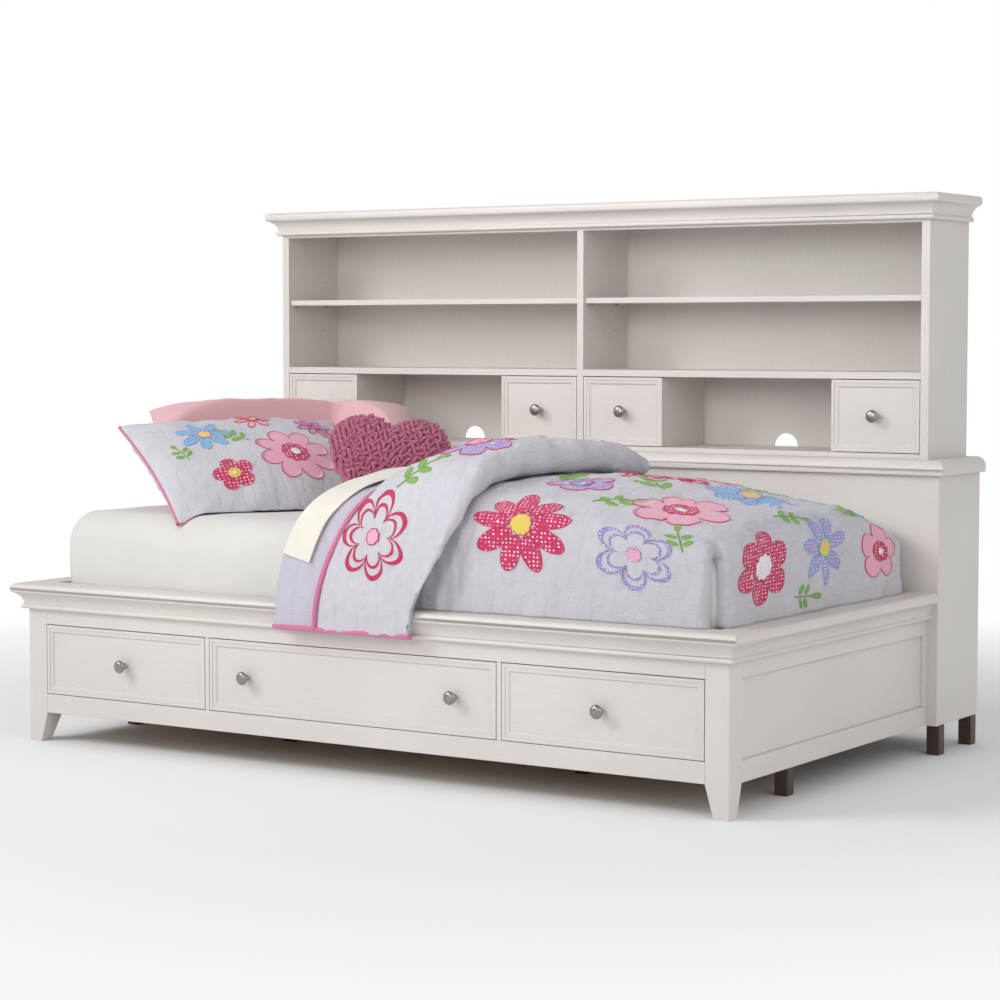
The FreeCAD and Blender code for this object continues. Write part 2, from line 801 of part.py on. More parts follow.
def shelf_pins():
    """Round pins under the adjustable shelves."""
    pins = []
    for face, way in ((f"-{BAY_OUT}", 1), (f"-{BAY_IN}", -1), (BAY_IN, 1), (BAY_OUT, -1)):
        for row in range(2):
            pin = doc.addObject("Part::Cylinder", f"shelf_pin{len(pins) + 1}")
            pin.Label = f"shelf_pin{len(pins) + 1}"
            bind(pin, "Radius", "pin_radius")
            bind(pin, "Height", "pin_length")
            reach = "pin_hole_depth" if way > 0 else "(pin_length - pin_hole_depth)"
            start = f"{face} - {reach}"
            bind(pin, "Placement.Base.x", start)
            y = f"{HUTCH_FRONT} + pin_front + {row} * pin_rows"
            bind(pin, "Placement.Base.y", back_from_front(y))
            bind(pin, "Placement.Base.z", f"{LOOSE_LOW} - pin_radius")
            pin.Placement.Rotation = FreeCAD.Rotation(Vector(0, 1, 0), 90)
            pins.append(pin)
    return group("shelf_pins", pins)


def hutch_header():
    size = (f"2 * {BAY_OUT}", "header_thick", "header_height")
    return board("hutch_header", (f"-{BAY_OUT}", HUTCH_FRONT, "header_under"), size)


def hutch_top():
    """Top board with a rounded nose on its front and its ends."""
    reach = f"({HUTCH_HALF} + top_out)"
    body = new_body("hutch_top", ("0", HUTCH_FRONT, HEADER_TOP))
    plan = new_sketch(body, "XY_Plane")
    rectangle(plan, (f"-{reach}", "-top_out"), (reach, "hutch_depth"))
    pad(body, plan, "top_thick")
    back = mm("hutch_depth")

    def outer_at(height):
        def test(middle, edge):
            return abs(middle.z - height) < 0.01 and middle.y < back - 0.01

        return test

    for height, radius in (("top_thick", "top_nose"), ("0", "top_under")):
        dress(body, "Fillet", outer_at(mm(height)), radius)
    return body


def hutch_back():
    """Back of the bookcase, with a half-round opening for cables in each lower bay."""
    body = new_body("back_panels_upper", ("0", BACK_FACE, "0"))
    face = new_sketch(body, "XZ_Plane")
    rectangle(face, (f"-{BAY_OUT}", DECK_LOW), (BAY_OUT, HEADER_TOP))
    pad(body, face, "back_thick", backwards=True)
    for side in (-1, 1):
        middle = f"{side} * ({BAY_IN} + {BAY_OUT}) / 2"
        hole = new_sketch(body, "XZ_Plane")
        outline(
            hole,
            [
                (f"{middle} - cable_radius", DECK_TOP, "cable_radius", 1),
                (f"{middle} + cable_radius", DECK_TOP),
                (middle, f"{DECK_TOP} + cable_radius", "cable_radius", 1),
            ],
        )
        pocket(body, hole)
    return body


def base_back():
    half = f"({BASE_HALF} - base_board)"
    size = (f"2 * {half}", "back_thick", "base_height - foot_clear")
    return board("back_panels_lower", (f"-{half}", BACK_FACE, "foot_clear"), size)


# Drawers ----------------------------------------------------------------------------------------


def knob(label, x, y, z):
    """A turned knob with a mushroom head, on a screw that goes through the drawer's front."""
    body = new_body(label, (x, y, z))
    half = new_sketch(body, "XY_Plane")
    neck = "-(knob_out - knob_head)"
    # a ball centred on the knob's own axis, which closes cleanly at its pole
    dome = "(knob_crown_radius ^ 2 + knob_dome ^ 2) / (2 * knob_dome)"
    corners = [
        ("0", "front_thick"),
        ("knob_screw", "front_thick"),
        ("knob_screw", "0"),
        ("knob_base", "0"),
        ("knob_base", "-knob_foot"),
        ("knob_stem", f"{neck} + knob_foot * 2", "knob_foot * 3", 1),
        ("knob_stem", neck),
        ("knob_radius", "-(knob_out - knob_crown)", "knob_radius * 1.3", -1),
        ("knob_crown_radius", "-(knob_out - knob_dome)", "knob_crown * 1.6", -1),
        ("0", "-knob_out", dome, -1),
    ]
    outline(half, corners)
    turned = body.newObject("PartDesign::Revolution", f"{label}_turned")
    turned.Profile = half
    turned.ReferenceAxis = (half, ["V_Axis"])
    turned.Angle = 360
    doc.recompute()
    return body


def drawer_front(label, width, x, y, z, height, knobs):
    """A front with a stepped and bevelled border round its panel, bored for its knobs."""
    body = new_body(label, (x, y, z))
    face = new_sketch(body, "XZ_Plane")
    rectangle(face, (f"-{width} / 2", "0"), (f"{width} / 2", height))
    pad(body, face, "front_thick", backwards=True)
    inset = "0"
    for step, depth in (("border_flat", "border_step"), ("border_width", "panel_recess")):
        inset = f"({inset} + {step})" if inset == "0" else "border_width"
        panel = new_sketch(body, "XZ_Plane")
        across = f"({width} / 2 - {inset})"
        rectangle(panel, (f"-{across}", inset), (across, f"{height} - {inset}"))
        pocket(body, panel, depth)
    step_y = mm("border_step")

    def inner_rim(middle, edge):
        near = mm(f"{width} / 2 - border_width")
        inside = abs(middle.x) < near + 0.01 and mm("border_width") - 0.01 < middle.z
        return inside and abs(middle.y - step_y) < 0.01 and middle.z < mm(f"{height} - border_width") + 0.01

    dress(body, "Chamfer", inner_rim, "border_bevel")
    holes = new_sketch(body, "XZ_Plane")
    for offset in knobs:
        circle(holes, offset, f"{height} / 2", "knob_screw + knob_screw_fit")
    pocket(body, holes)
    return body


def grooved_side(label, x, y, z, depth, height, way):
    """A side of a drawer box, grooved on its outer face; way is +1 where that face looks to +X."""
    body = new_body(label, (x, y, z))
    face = new_sketch(body, "YZ_Plane")
    rectangle(face, ("0", "0"), (depth, height))
    pad(body, face, "box_wall", backwards=way > 0)
    groove = new_sketch(body, "YZ_Plane")
    rectangle(groove, ("-1", "runner_up"), (f"{depth} + 1", "runner_up + runner_height + 2 * runner_fit"))
    pocket(body, groove, "groove_depth", backwards=way < 0)
    return body


def drawer_box(label, low_x, high_x, y, z, depth, height):
    """Two grooved sides, an inner front, a back and a bottom."""
    inner_x = f"({low_x} + box_wall)"
    inner = f"({high_x} - {low_x} - 2 * box_wall)"
    wall = (inner, "box_wall", height)
    pieces = [
        grooved_side(f"{label}_left", low_x, y, z, depth, height, -1),
        grooved_side(f"{label}_right", high_x, y, z, depth, height, 1),
        board(f"{label}_inner_front", (inner_x, y, z), wall),
        board(f"{label}_back", (inner_x, f"{y} + {depth} - box_wall", z), wall),
        board(
            f"{label}_bottom",
            (inner_x, f"{y} + box_wall", z),
            (inner, f"{depth} - 2 * box_wall", "box_bottom"),
        ),
    ]
    return group(label, pieces)


def runner(label, face_x, way, y, z, depth):
    """A strip on a case side, whose inner edge lies in the box's groove; way points to the box."""
    reach = "(box_gap + groove_depth - runner_fit)"
    low = face_x if way > 0 else f"{face_x} - {reach}"
    return board(label, (low, y, f"{z} + runner_up + runner_fit"), (reach, depth, "runner_height"))


def drawer(name, case, front, y, z, height, box_height, box_depth, run, knobs):
    """One drawer: its front, box and knobs, and the two runners that carry it.

    case is the clear width beside the box and front the width of the front itself, each as its two
    X places; y is the front's face, z and height the opening's, and run the runners' start and
    length."""
    middle = f"(({front[0]}) + ({front[1]})) / 2"
    width = f"(({front[1]}) - ({front[0]}))"
    front_z, front_height = f"{z} + front_gap", f"({height} - 2 * front_gap)"
    drawer_front(f"{name}_front", width, middle, y, front_z, front_height, knobs)
    places = [(f"{middle} + {offset}", y, f"{z} + {height} / 2") for offset in knobs]
    label = f"{name}_knob"
    if len(places) == 1:
        knob(label, *places[0])
    else:
        group(label, [knob(f"{label}{i + 1}", *place) for i, place in enumerate(places)])
    low_x, high_x = f"({case[0]} + box_gap)", f"({case[1]} - box_gap)"
    box_y, box_z = f"{y} + front_thick", f"({z} + box_lift)"
    drawer_box(f"{name}_box", low_x, high_x, box_y, box_z, box_depth, box_height)
    start, depth = run
    strips = [
        runner(f"{name}_runner_left", case[0], 1, start, box_z, depth),
        runner(f"{name}_runner_right", case[1], -1, start, box_z, depth),
    ]
    return [f"{name}_front", label, f"{name}_box"], strips


def all_drawers():
    names, strips = [], []
    side_low, side_high = "centre_opening / 2 + divider", f"{HALF} - leg_size"
    pair_of_knobs = ["-knob_spread / 2", "knob_spread / 2"]
    bays = (
        ("left_drawer", f"-({side_high})", f"-({side_low})", ["0"], "leg_size"),
        ("centre_drawer", "-centre_opening / 2", "centre_opening / 2", pair_of_knobs, "rail_thick"),
        ("right_drawer", f"({side_low})", f"({side_high})", ["0"], "leg_size"),
    )
    for name, low, high, knobs, start in bays:
        front = (f"{low} + front_gap", f"{high} - front_gap")
        strip = (start, f"{CASE_END} - ({start})")
        sizes = ("drawer_opening", "bed_box_height", "bed_box_depth", strip, knobs)
        made, pair = drawer(name, (low, high), front, "0", OPENING_LOW, *sizes)
        names += made
        strips += pair
    reach = "(front_gap + small_front)"
    anchors = (
        ("small_drawer1", f"(-{BAY_OUT})", 1),
        ("small_drawer2", f"(-{BAY_IN})", -1),
        ("small_drawer3", f"({BAY_IN})", 1),
        ("small_drawer4", f"({BAY_OUT})", -1),
    )
    for name, anchor, way in anchors:
        near, far = f"{anchor} + {way} * front_gap", f"{anchor} + {way} * {reach}"
        wall_face = f"{anchor} + {way} * ({reach} - small_wall)"
        ordered = (near, far) if way > 0 else (far, near)
        case = (anchor, wall_face) if way > 0 else (wall_face, anchor)
        start = f"{HUTCH_FRONT} + front_thick"
        strip = (start, "hutch_depth - back_thick - front_thick")
        sizes = ("small_drawer_space", "small_box_height", "small_box_depth", strip, ["0"])
        made, pair = drawer(name, case, ordered, HUTCH_FRONT, DECK_TOP, *sizes)
        names += made
        strips += pair
    group("drawer_runners", strips)
    return names + ["drawer_runners"]


def drawer_walls():
    """The boards between the small drawers and the open middle of each bay."""
    walls = []
    reach = "(front_gap + small_front)"
    for anchor, way in ((f"-{BAY_OUT}", 1), (f"-{BAY_IN}", -1), (BAY_IN, 1), (BAY_OUT, -1)):
        shift = f"{reach} - small_wall" if way > 0 else f"-{reach}"
        size = ("small_wall", "hutch_depth - back_thick - front_thick", "small_drawer_space")
        low = (f"{anchor} + {shift}", f"{HUTCH_FRONT} + front_thick", DECK_TOP)
        walls.append(board(f"drawer_wall{len(walls) + 1}", low, size))
    return group("drawer_walls", walls)


# Bedding ----------------------------------------------------------------------------------------
# Soft solids are drawn with X from the middle of the bed, Y from the front of the legs and Z from
# the floor. Each is cut back from the room, soft_gap larger all round, of what it lies on.

WELL_BACK_GAP = "((bed_depth - cap_width + cap_out - mattress_width) / 2)"
MATTRESS_FRONT = f"(bed_depth - {WELL_BACK_GAP} - mattress_width)"
QUILT_CROWN = f"({MATTRESS_TOP} + quilt_puff)"
ARC_SHARE = 1 - math.sqrt(0.5)  # how far the middle of a quarter circle lies inside its corner


def mattress():
    """Mattress with its fitted sheet: a block with generous rounded edges."""
    body = new_body("mattress", ("0", MATTRESS_FRONT, MATTRESS_LOW))
    plan = new_sketch(body, "XY_Plane")
    rectangle(plan, ("-mattress_length / 2", "0"), ("mattress_length / 2", "mattress_width"))
    pad(body, plan, "mattress_thick")
    high, half = mm("mattress_thick"), mm("mattress_thick / 2")
    dress(body, "Fillet", lambda middle, edge: abs(middle.z - half) < 0.01, "mattress_corner")
    dress(body, "Fillet", lambda middle, edge: abs(middle.z - high) < 0.01, "mattress_round")
    dress(body, "Fillet", lambda middle, edge: abs(middle.z) < 0.01, "mattress_edge")
    return body


def soft(label, shape, rooms):
    """A soft solid, cut back from the rooms of its neighbours and set in its place."""
    for room in rooms:
        shape = shape.cut(room)
    whole = max(shape.Solids, key=lambda solid: solid.Volume)
    piece = doc.addObject("Part::Feature", label)
    piece.Label = label
    piece.Shape = whole
    piece.Placement = FreeCAD.Placement(Vector(0, mm(Y0), 0), FreeCAD.Rotation())
    return piece


def ring(points, bulges):
    """A closed wire through points; a bulge is the middle of the arc to the next point, or None."""
    edges = []
    for i, point in enumerate(points):
        after = points[(i + 1) % len(points)]
        if bulges[i] is None:
            edges.append(Part.LineSegment(point, after).toShape())
        else:
            edges.append(Part.Arc(point, bulges[i], after).toShape())
    return Part.Wire(edges)


def loft(wires):
    """A smooth solid through closed wires; a low degree keeps a steep end from rippling the rest."""
    degree = 3
    return Part.makeLoft(wires, True, False, False, degree)


# Sections of the quilt along the bed, closer together towards its end: share of its length, how
# far its top has sunk there, and how far its front and back are drawn in.
QUILT_SECTIONS = (
    (0, 0, 0),
    (0.22, -2, 2),
    (0.42, -2, 3),
    (0.6, 0, 1),
    (0.75, 5, 0),
    (0.87, 14, 2),
    (0.95, 36, 9),
    (1, 88, 36),
)


def quilt_body(grow):
    """The quilt over the mattress: a low dome, lofted along the bed and rounded down at its end."""
    low = mm(CAP_TOP) + mm("soft_gap") - grow
    front = mm(MATTRESS_FRONT) - mm("quilt_front") - grow
    back = mm("bed_depth") - mm("soft_gap") + grow
    left, right = mm("quilt_left") - grow, mm("mattress_length / 2 + quilt_end") + grow
    edge, fall_front, fall_back = mm("quilt_round"), mm("quilt_fall_front"), mm("quilt_fall_back")
    turn = edge * ARC_SHARE
    wires = []
    for share, sunk, inward in QUILT_SECTIONS:
        x = left + (right - left) * share
        y0, y1, crown = front + inward, back - inward, mm(QUILT_CROWN) + grow - sunk
        high0, high1 = crown - fall_front, crown - fall_back
        points = [
            Vector(x, y0, low),
            Vector(x, y0, high0 - edge),
            Vector(x, y0 + edge, high0),
            Vector(x, y1 - edge, high1),
            Vector(x, y1, high1 - edge),
            Vector(x, y1, low),
        ]
        bulges = [
            None,
            Vector(x, y0 + turn, high0 - turn),
            Vector(x, (y0 + y1) / 2, crown),
            Vector(x, y1 - turn, high1 - turn),
            None,
            None,
        ]
        wires.append(ring(points, bulges))
    return loft(wires)


BAND_SHOULDER = 0.7  # height of a band's shoulders for each millimetre of its thickness
BAND_BELLY = 0.4  # height at which its sides bulge most
BAND_SIDE = 0.35  # how far its shoulders are drawn in
BAND_BULGE = 0.05  # how far its sides bulge out


def band_section(left, right, y, z, lean, thick, grow):
    """A flat-bottomed, round-backed section of a band that lies on the quilt; lean is 0 where the
    band hangs and 90 where it lies flat."""
    out = Vector(0, -math.cos(math.radians(lean)), math.sin(math.radians(lean)))
    foot = Vector(0, y, z) - out * grow
    low, high = left - grow, right + grow
    rise = thick + 2 * grow
    side, bulge = min(thick, mm("fold_roll") / 2) * BAND_SIDE, thick * BAND_BULGE
    shoulder, belly = foot + out * (rise * BAND_SHOULDER), foot + out * (rise * BAND_BELLY)
    points = [
        foot + Vector(low, 0, 0),
        foot + Vector(high, 0, 0),
        shoulder + Vector(high - side, 0, 0),
        shoulder + Vector(low + side, 0, 0),
    ]
    bulges = [
        None,
        belly + Vector(high + bulge, 0, 0),
        foot + out * rise + Vector((low + high) / 2, 0, 0),
        belly + Vector(low - bulge, 0, 0),
    ]
    return ring(points, bulges)


def evenly(places, count):
    """The same path in stations an equal way apart, each between the two places beside it."""
    way = [0.0]
    for near, far in zip(places, places[1:]):
        way.append(way[-1] + math.hypot(far[2] - near[2], far[3] - near[3]))
    stations = []
    for i in range(count):
        at = way[-1] * i / (count - 1)
        k = max(j for j in range(len(places) - 1) if way[j] <= at)
        share = (at - way[k]) / (way[k + 1] - way[k])
        stations.append([a + (b - a) * share for a, b in zip(places[k], places[k + 1])])
    return stations


FOLD_STATIONS = 14


def fold_stations():
    """The quilt's fold from its hem, up over the front edge and across to the back: its left and
    right ends, its place, its lean and its thickness."""
    left, right, roll = mm("fold_left"), mm("fold_right"), mm("fold_roll")
    hang, thin = -mm("cap_out + soft_gap"), mm("hem_thick")
    hem, ledge_top, crown = mm("hem_height"), mm(CAP_TOP), mm(QUILT_CROWN)
    front = mm(MATTRESS_FRONT) - mm("quilt_front")
    places = [
        (left, right, hang, hem, 0, thin),
        (left + 2, right + 13, hang, ledge_top + 12, 0, thin),
        (left + 7, right + 50, hang + 30, ledge_top + 105, 8, thin * 2),
        (left + 35, right + 106, front - 2, ledge_top + 198, 20, roll * 0.36),
        (left + 75, right + 122, front + 30, crown - 58, 50, roll * 0.55),
        (left + 100, right + 123, front + 100, crown - 32, 74, roll * 0.88),
        (left + 110, right + 130, front + 230, crown - 10, 86, roll),
        (left + 100, right + 165, front + 430, crown - 4, 90, roll * 0.92),
        (left + 95, right + 195, front + 604, crown - 12, 92, roll * 0.88),
        (left + 100, right + 165, front + 764, crown - 32, 96, roll * 0.62),
    ]
    return evenly(places, FOLD_STATIONS)


def quilt_fold(grow):
    return loft([band_section(*station, grow) for station in fold_stations()])


def sheet_section(left, right, y, z, lean, thick, grow):
    """A shell round the left side of the fold's section, from the fold's foot to its top."""
    out = Vector(0, -math.cos(math.radians(lean)), math.sin(math.radians(lean)))
    foot, middle = Vector(0, y, z), (left + right) / 2
    side = min(thick, mm("fold_roll") / 2) * BAND_SIDE
    end = left + mm("sheet_show") + grow

    def on_top(x, away):
        """A place on the fold's back, which falls from its middle to its shoulders."""
        fall = (1 - BAND_SHOULDER) * ((x - middle) / (middle - left - side)) ** 2
        return foot + out * (thick * (1 - fall) + away) + Vector(x, 0, 0)

    rows = []
    for away in (mm("sheet_gap") - grow, mm("sheet_gap + sheet_thick") + grow):
        low = left - away
        belly = foot + out * (thick * BAND_BELLY) + Vector(low - thick * BAND_BULGE, 0, 0)
        shoulder = on_top(left + side, away) - Vector(away, 0, 0)
        between = on_top((left + side + end) / 2, away) - Vector(away / 2, 0, 0)
        rows.append([foot + Vector(low, 0, 0), belly, shoulder, between, on_top(end, away)])
    near, far = rows
    points = [near[0], near[2], near[4], far[4], far[2], far[0]]
    return ring(points, [near[1], near[3], None, far[3], far[1], None])


def sheet_band(grow):
    """The top sheet, turned over the left edge of the quilt's fold and hemmed above the ledge."""
    band = loft([sheet_section(*station, grow) for station in fold_stations()])
    side, hem = mm("bed_length"), mm("sheet_hem") - grow
    return band.cut(Part.makeBox(side, side, hem, Vector(-side, -side / 2, 0)))


# Sections of a pillow along its length, as shares of half of it.
PILLOW_SECTIONS = (-1, -0.9, -0.6, 0, 0.6, 0.9, 1)


def pillow(length, width, thick, grow):
    """A pillow lying flat about its own middle: crowned, with its sides drawn in."""
    seam, draw = mm("pillow_seam") + grow, mm("pillow_draw")
    wires = []
    for share in PILLOW_SECTIONS:
        x = share * (length / 2 + grow)
        half = width / 2 + grow - draw * (1 - share**2)
        swell = math.sqrt(max(1 - share**2, (seam / thick) ** 2))
        crown = seam + (thick / 2 - seam) * max(swell, 0.1)
        points = [
            Vector(x, -half, -seam),
            Vector(x, half, -seam),
            Vector(x, half, seam),
            Vector(x, -half, seam),
        ]
        bulges = [Vector(x, 0, -crown), None, Vector(x, 0, crown), None]
        wires.append(ring(points, bulges))
    shape = loft(wires)
    hollow = ((width / 2) ** 2 + draw**2) / (2 * draw)
    for way in (-1, 1):
        centre = Vector(way * (length / 2 + grow + hollow - draw), 0, -thick)
        shape = shape.cut(Part.makeCylinder(hollow, 2 * thick, centre))
    return shape


# The right half of the heart's outline from its tip to its dip, and the middles of its arcs, as
# shares of half its width; then its sections across its thickness and their sizes.
HEART_POINTS = ((0, -0.92), (0.96, 0.12), (0.52, 0.76), (0, 0.5))
HEART_ARCS = ((0.62, -0.46), (0.9, 0.54), (0.2, 0.7))
HEART_SECTIONS = ((-1, 0.62), (-0.62, 0.92), (0, 1), (0.62, 0.92), (1, 0.62))


def heart(width, thick, grow):
    """A heart-shaped cushion lying flat about its own middle."""
    wires = []
    for share, size in HEART_SECTIONS:
        z, w = share * (thick / 2 + grow), size * (width / 2 + grow)
        points = [Vector(x * w, y * w, z) for x, y in HEART_POINTS]
        points += [Vector(-p.x, p.y, z) for p in points[-2:0:-1]]
        bulges = [Vector(x * w, y * w, z) for x, y in HEART_ARCS]
        bulges += [Vector(-p.x, p.y, z) for p in bulges[::-1]]
        wires.append(ring(points, bulges))
    return loft(wires)


def lean_on(shape, place, turn, tilt, roll=0):
    """Roll a cushion in its own plane, tilt it back and turn it round Z, about its middle."""
    flat = FreeCAD.Rotation(Vector(0, 0, 1), roll)
    leant = FreeCAD.Rotation(turn, 0, tilt)
    shape.Placement = FreeCAD.Placement(Vector(*place), leant.multiply(flat))
    return shape


def bedding():
    """Everything soft, from the mattress up."""
    gap = mm("soft_gap")
    left, front, top = -mm("mattress_length / 2"), mm(MATTRESS_FRONT), mm(MATTRESS_TOP)
    base = mattress().Shape.copy()
    base.translate(Vector(0, -mm(Y0), 0))
    base_room = base.makeOffsetShape(gap, 0.01)
    # the rooms of the front ledge and of the cabinet, both longer than the bed
    long, deep = mm("2 * bed_length"), mm("bed_depth")
    ledge = Part.makeBox(
        long, mm("cap_width") + gap, mm(CAP_TOP) + gap, Vector(-long / 2, -mm("cap_out") - gap, 0)
    )
    cabinet = Part.makeBox(long, deep, mm("base_height"), Vector(-long / 2, deep - gap, 0))
    soft("quilt", quilt_body(0), [base_room, cabinet])
    quilt_room = quilt_body(2 * gap)
    soft("quilt_fold", quilt_fold(0), [quilt_room, base_room, ledge])
    soft("top_sheet", sheet_band(0), [quilt_room, base_room, ledge])

    def sham(grow):
        shape = pillow(mm("sham_length"), mm("sham_width"), mm("sham_thick"), grow)
        return lean_on(shape, (left + 353, front + 380, top + 87), 62, 29)

    def pink(grow):
        shape = pillow(mm("pillow_length"), mm("pillow_width"), mm("pillow_thick"), grow)
        return lean_on(shape, (left + 350, front + 542, top + 160), 48, 27)

    def cushion(grow):
        shape = heart(mm("heart_width"), mm("heart_thick"), grow)
        return lean_on(shape, (left + 773, front + 372, top + 142), 28, 52, -8)

    sheet_rooms = [quilt_fold(gap + mm("sheet_gap + sheet_thick")), sheet_band(gap)]
    bed_rooms = [base_room, quilt_room] + sheet_rooms
    soft("pillow_sham", sham(0), bed_rooms)
    soft("pillow_pink", pink(0), bed_rooms + [sham(gap)])
    soft("heart_cushion", cushion(0), bed_rooms + [sham(gap), pink(gap)])
    names = ["mattress", "quilt", "quilt_fold", "top_sheet"]
    return names + ["pillow_sham", "pillow_pink", "heart_cushion"]


# Assembly of the rigid pieces -------------------------------------------------------------------

front_leg("front_leg_left", -1)
front_leg("front_leg_right", 1)
front_frame()
both_ends("end_frames", end_frame)
both_ends("end_panels", end_panel)
ledge()
drawer_case()
support_feet()
slat_ledgers()
bed_slats()
both_ends("base_sides", base_side)
base_front_panel()
base_top()
BASE_SIZES = ("base_cap_out", "(base_cap_width - base_cap_out)")
BASE_RUN = f"({BACK} - bed_depth)"
wrapped_moulding("base_moulding", base_cap, BASE_HALF, "bed_depth", "base_height", BASE_RUN, *BASE_SIZES)
SPOTS = list(enumerate(bracket_spots(), 1))
group("corner_brackets", [corner_bracket(f"corner_bracket{i}", *spot) for i, spot in SPOTS])
group("frame_bolts", [frame_bolt(f"frame_bolt{i}", *spot) for i, spot in SPOTS])
hutch_side("hutch_side_left", -1)
hutch_side("hutch_side_right", 1)
hutch_divider()
hutch_deck()
both_ends("fixed_shelves", fixed_shelf)
both_ends("loose_shelves", loose_shelf)
shelf_pins()
hutch_header()
hutch_top()
CROWN_Z = f"{HEADER_TOP} - crown_bead - crown_cove"
CROWN_SIZES = (HUTCH_HALF, HUTCH_FRONT, CROWN_Z, "hutch_depth", "crown_cove_out", "0")
wrapped_moulding("crown_moulding", hutch_cove, *CROWN_SIZES)
group("back_panels", [hutch_back(), base_back()])
drawer_walls()
DRAWER_NODES = all_drawers()
SOFT_NODES = bedding()

NODES = [
    "front_leg_left",
    "front_leg_right",
    "front_frame",
    "end_frames",
    "end_panels",
    "front_ledge_cap",
    "front_ledge_cove",
    "end_ledges",
    "drawer_case",
    "support_feet",
    "slat_ledgers",
    "bed_slats",
    "base_sides",
    "base_front_panel",
    "base_top",
    "base_moulding",
    "corner_brackets",
    "frame_bolts",
    "hutch_side_left",
    "hutch_side_right",
    "hutch_divider",
    "hutch_deck",
    "fixed_shelves",
    "loose_shelves",
    "shelf_pins",
    "hutch_header",
    "hutch_top",
    "crown_moulding",
    "back_panels",
    "drawer_walls",
] + DRAWER_NODES + SOFT_NODES

doc.recompute()

# Every object has to have come out whole before anything is written.
for item in doc.Objects:
    if "Invalid" in item.State or "Error" in item.State:
        raise RuntimeError(f"{item.Label} failed: {item.State}")
for label in NODES:
    shape = doc.getObjectsByLabel(label)[0].Shape
    if shape.isNull() or not shape.isValid():
        raise RuntimeError(f"{label} has no valid shape")
for label in NODES:
    doc.getObjectsByLabel(label)[0].Shape.exportStep(f"parts/{label}.step")
print(len(NODES), "nodes")
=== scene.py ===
import math

import bpy
import numpy as np
from mathutils import Matrix, Vector, noise
from mathutils.bvhtree import BVHTree


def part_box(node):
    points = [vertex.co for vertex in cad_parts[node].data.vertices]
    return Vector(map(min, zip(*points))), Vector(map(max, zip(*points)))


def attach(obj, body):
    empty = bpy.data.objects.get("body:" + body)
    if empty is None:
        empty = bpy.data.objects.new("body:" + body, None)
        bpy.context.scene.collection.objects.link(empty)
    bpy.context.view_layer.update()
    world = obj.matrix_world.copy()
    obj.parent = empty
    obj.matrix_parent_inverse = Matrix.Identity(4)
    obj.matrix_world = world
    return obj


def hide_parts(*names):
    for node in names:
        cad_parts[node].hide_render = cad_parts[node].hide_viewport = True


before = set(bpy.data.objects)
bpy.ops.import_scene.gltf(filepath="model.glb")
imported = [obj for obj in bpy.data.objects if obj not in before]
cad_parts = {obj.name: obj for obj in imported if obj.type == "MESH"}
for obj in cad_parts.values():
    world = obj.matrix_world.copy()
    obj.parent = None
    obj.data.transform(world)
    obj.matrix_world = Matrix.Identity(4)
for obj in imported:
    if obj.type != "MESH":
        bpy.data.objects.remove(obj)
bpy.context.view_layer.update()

bl_info = {
    "name": "Bookcase headboard bed",
    "version": (1, 0, 0),
    "blender": (4, 5, 0),
    "location": "View3D > Sidebar > Bed",
    "description": "Painted bookcase bed with drawers, made up with quilt, pillows and cushion",
    "category": "Add Mesh",
}

DRAWERS = ["left_drawer", "centre_drawer", "right_drawer"] + [f"small_drawer{i}" for i in (1, 2, 3, 4)]
FRONT = -0.6258  # the front of the legs


# Settings ---------------------------------------------------------------------------------------


def colour(name, text, value):
    """A colour setting."""
    return bpy.props.FloatVectorProperty(
        name=name, description=text, subtype="COLOR", size=3, min=0, max=1, default=value
    )


def length(name, text, value):
    """A length setting."""
    return bpy.props.FloatProperty(
        name=name, description=text, default=value, min=0, unit="LENGTH", precision=4
    )


class BedWoodSettings(bpy.types.PropertyGroup):
    paint: colour("Paint", "Warm white satin paint", (0.70, 0.66, 0.625))
    inner: colour("Inner wood", "Sealed softwood of drawer boxes and slats", (0.56, 0.42, 0.27))
    # The feet's near-black brown is partly their dark finish and partly painted shade for the deep shadow under
    # the cabinet
    foot_and_shade: colour("Feet", "Dark stain of the support feet", (0.065, 0.038, 0.025))
    knob: colour("Knobs", "Satin pewter", (0.34, 0.32, 0.305))
    steel: colour("Steel", "Zinc plated hardware", (0.50, 0.50, 0.51))
    edge: length("Edge", "Rounding of the boards' edges", 0.0013)


class BedLinenSettings(bpy.types.PropertyGroup):
    quilt: colour("Quilt", "White with a breath of lilac", (0.705, 0.685, 0.740))
    lining: colour("Lining", "Lilac pinstripe behind the quilt", (0.665, 0.63, 0.725))
    fitted: colour("Fitted sheet", "Off-white cotton", (0.70, 0.68, 0.65))
    sheet: colour("Top sheet", "Cream cotton", (0.78, 0.74, 0.66))
    pillow: colour("Plain pillow", "Soft pink cotton", (0.72, 0.43, 0.455))
    binding: colour("Binding", "Rose binding and cord", (0.62, 0.19, 0.33))
    knit: colour("Knit", "Dusky rose yarn", (0.42, 0.115, 0.19))
    pink: colour("Hot pink", "Flowers and thread", (0.55, 0.035, 0.12))
    rose: colour("Rose", "Flowers", (0.78, 0.36, 0.47))
    lilac: colour("Lilac", "Flowers", (0.36, 0.28, 0.58))
    sky: colour("Sky", "Flowers", (0.18, 0.45, 0.66))
    leaf: colour("Leaf", "Leaves and stems", (0.22, 0.42, 0.09))
    sun: colour("Sun", "Flower hearts", (0.76, 0.55, 0.12))


class BedStageSettings(bpy.types.PropertyGroup):
    floor: colour("Floor", "Pale studio floor", (0.90, 0.90, 0.90))
    key: bpy.props.FloatProperty(name="Key", description="Power of the key light", default=175)
    fill: bpy.props.FloatProperty(name="Fill", description="Power of the fill light", default=45)
    front: bpy.props.FloatProperty(
        name="Front", description="Power of the narrow light on the bookcase", default=5.5
    )
    world: bpy.props.FloatProperty(name="World", description="Strength of the even light", default=0.60)


# Shader helpers ---------------------------------------------------------------------------------


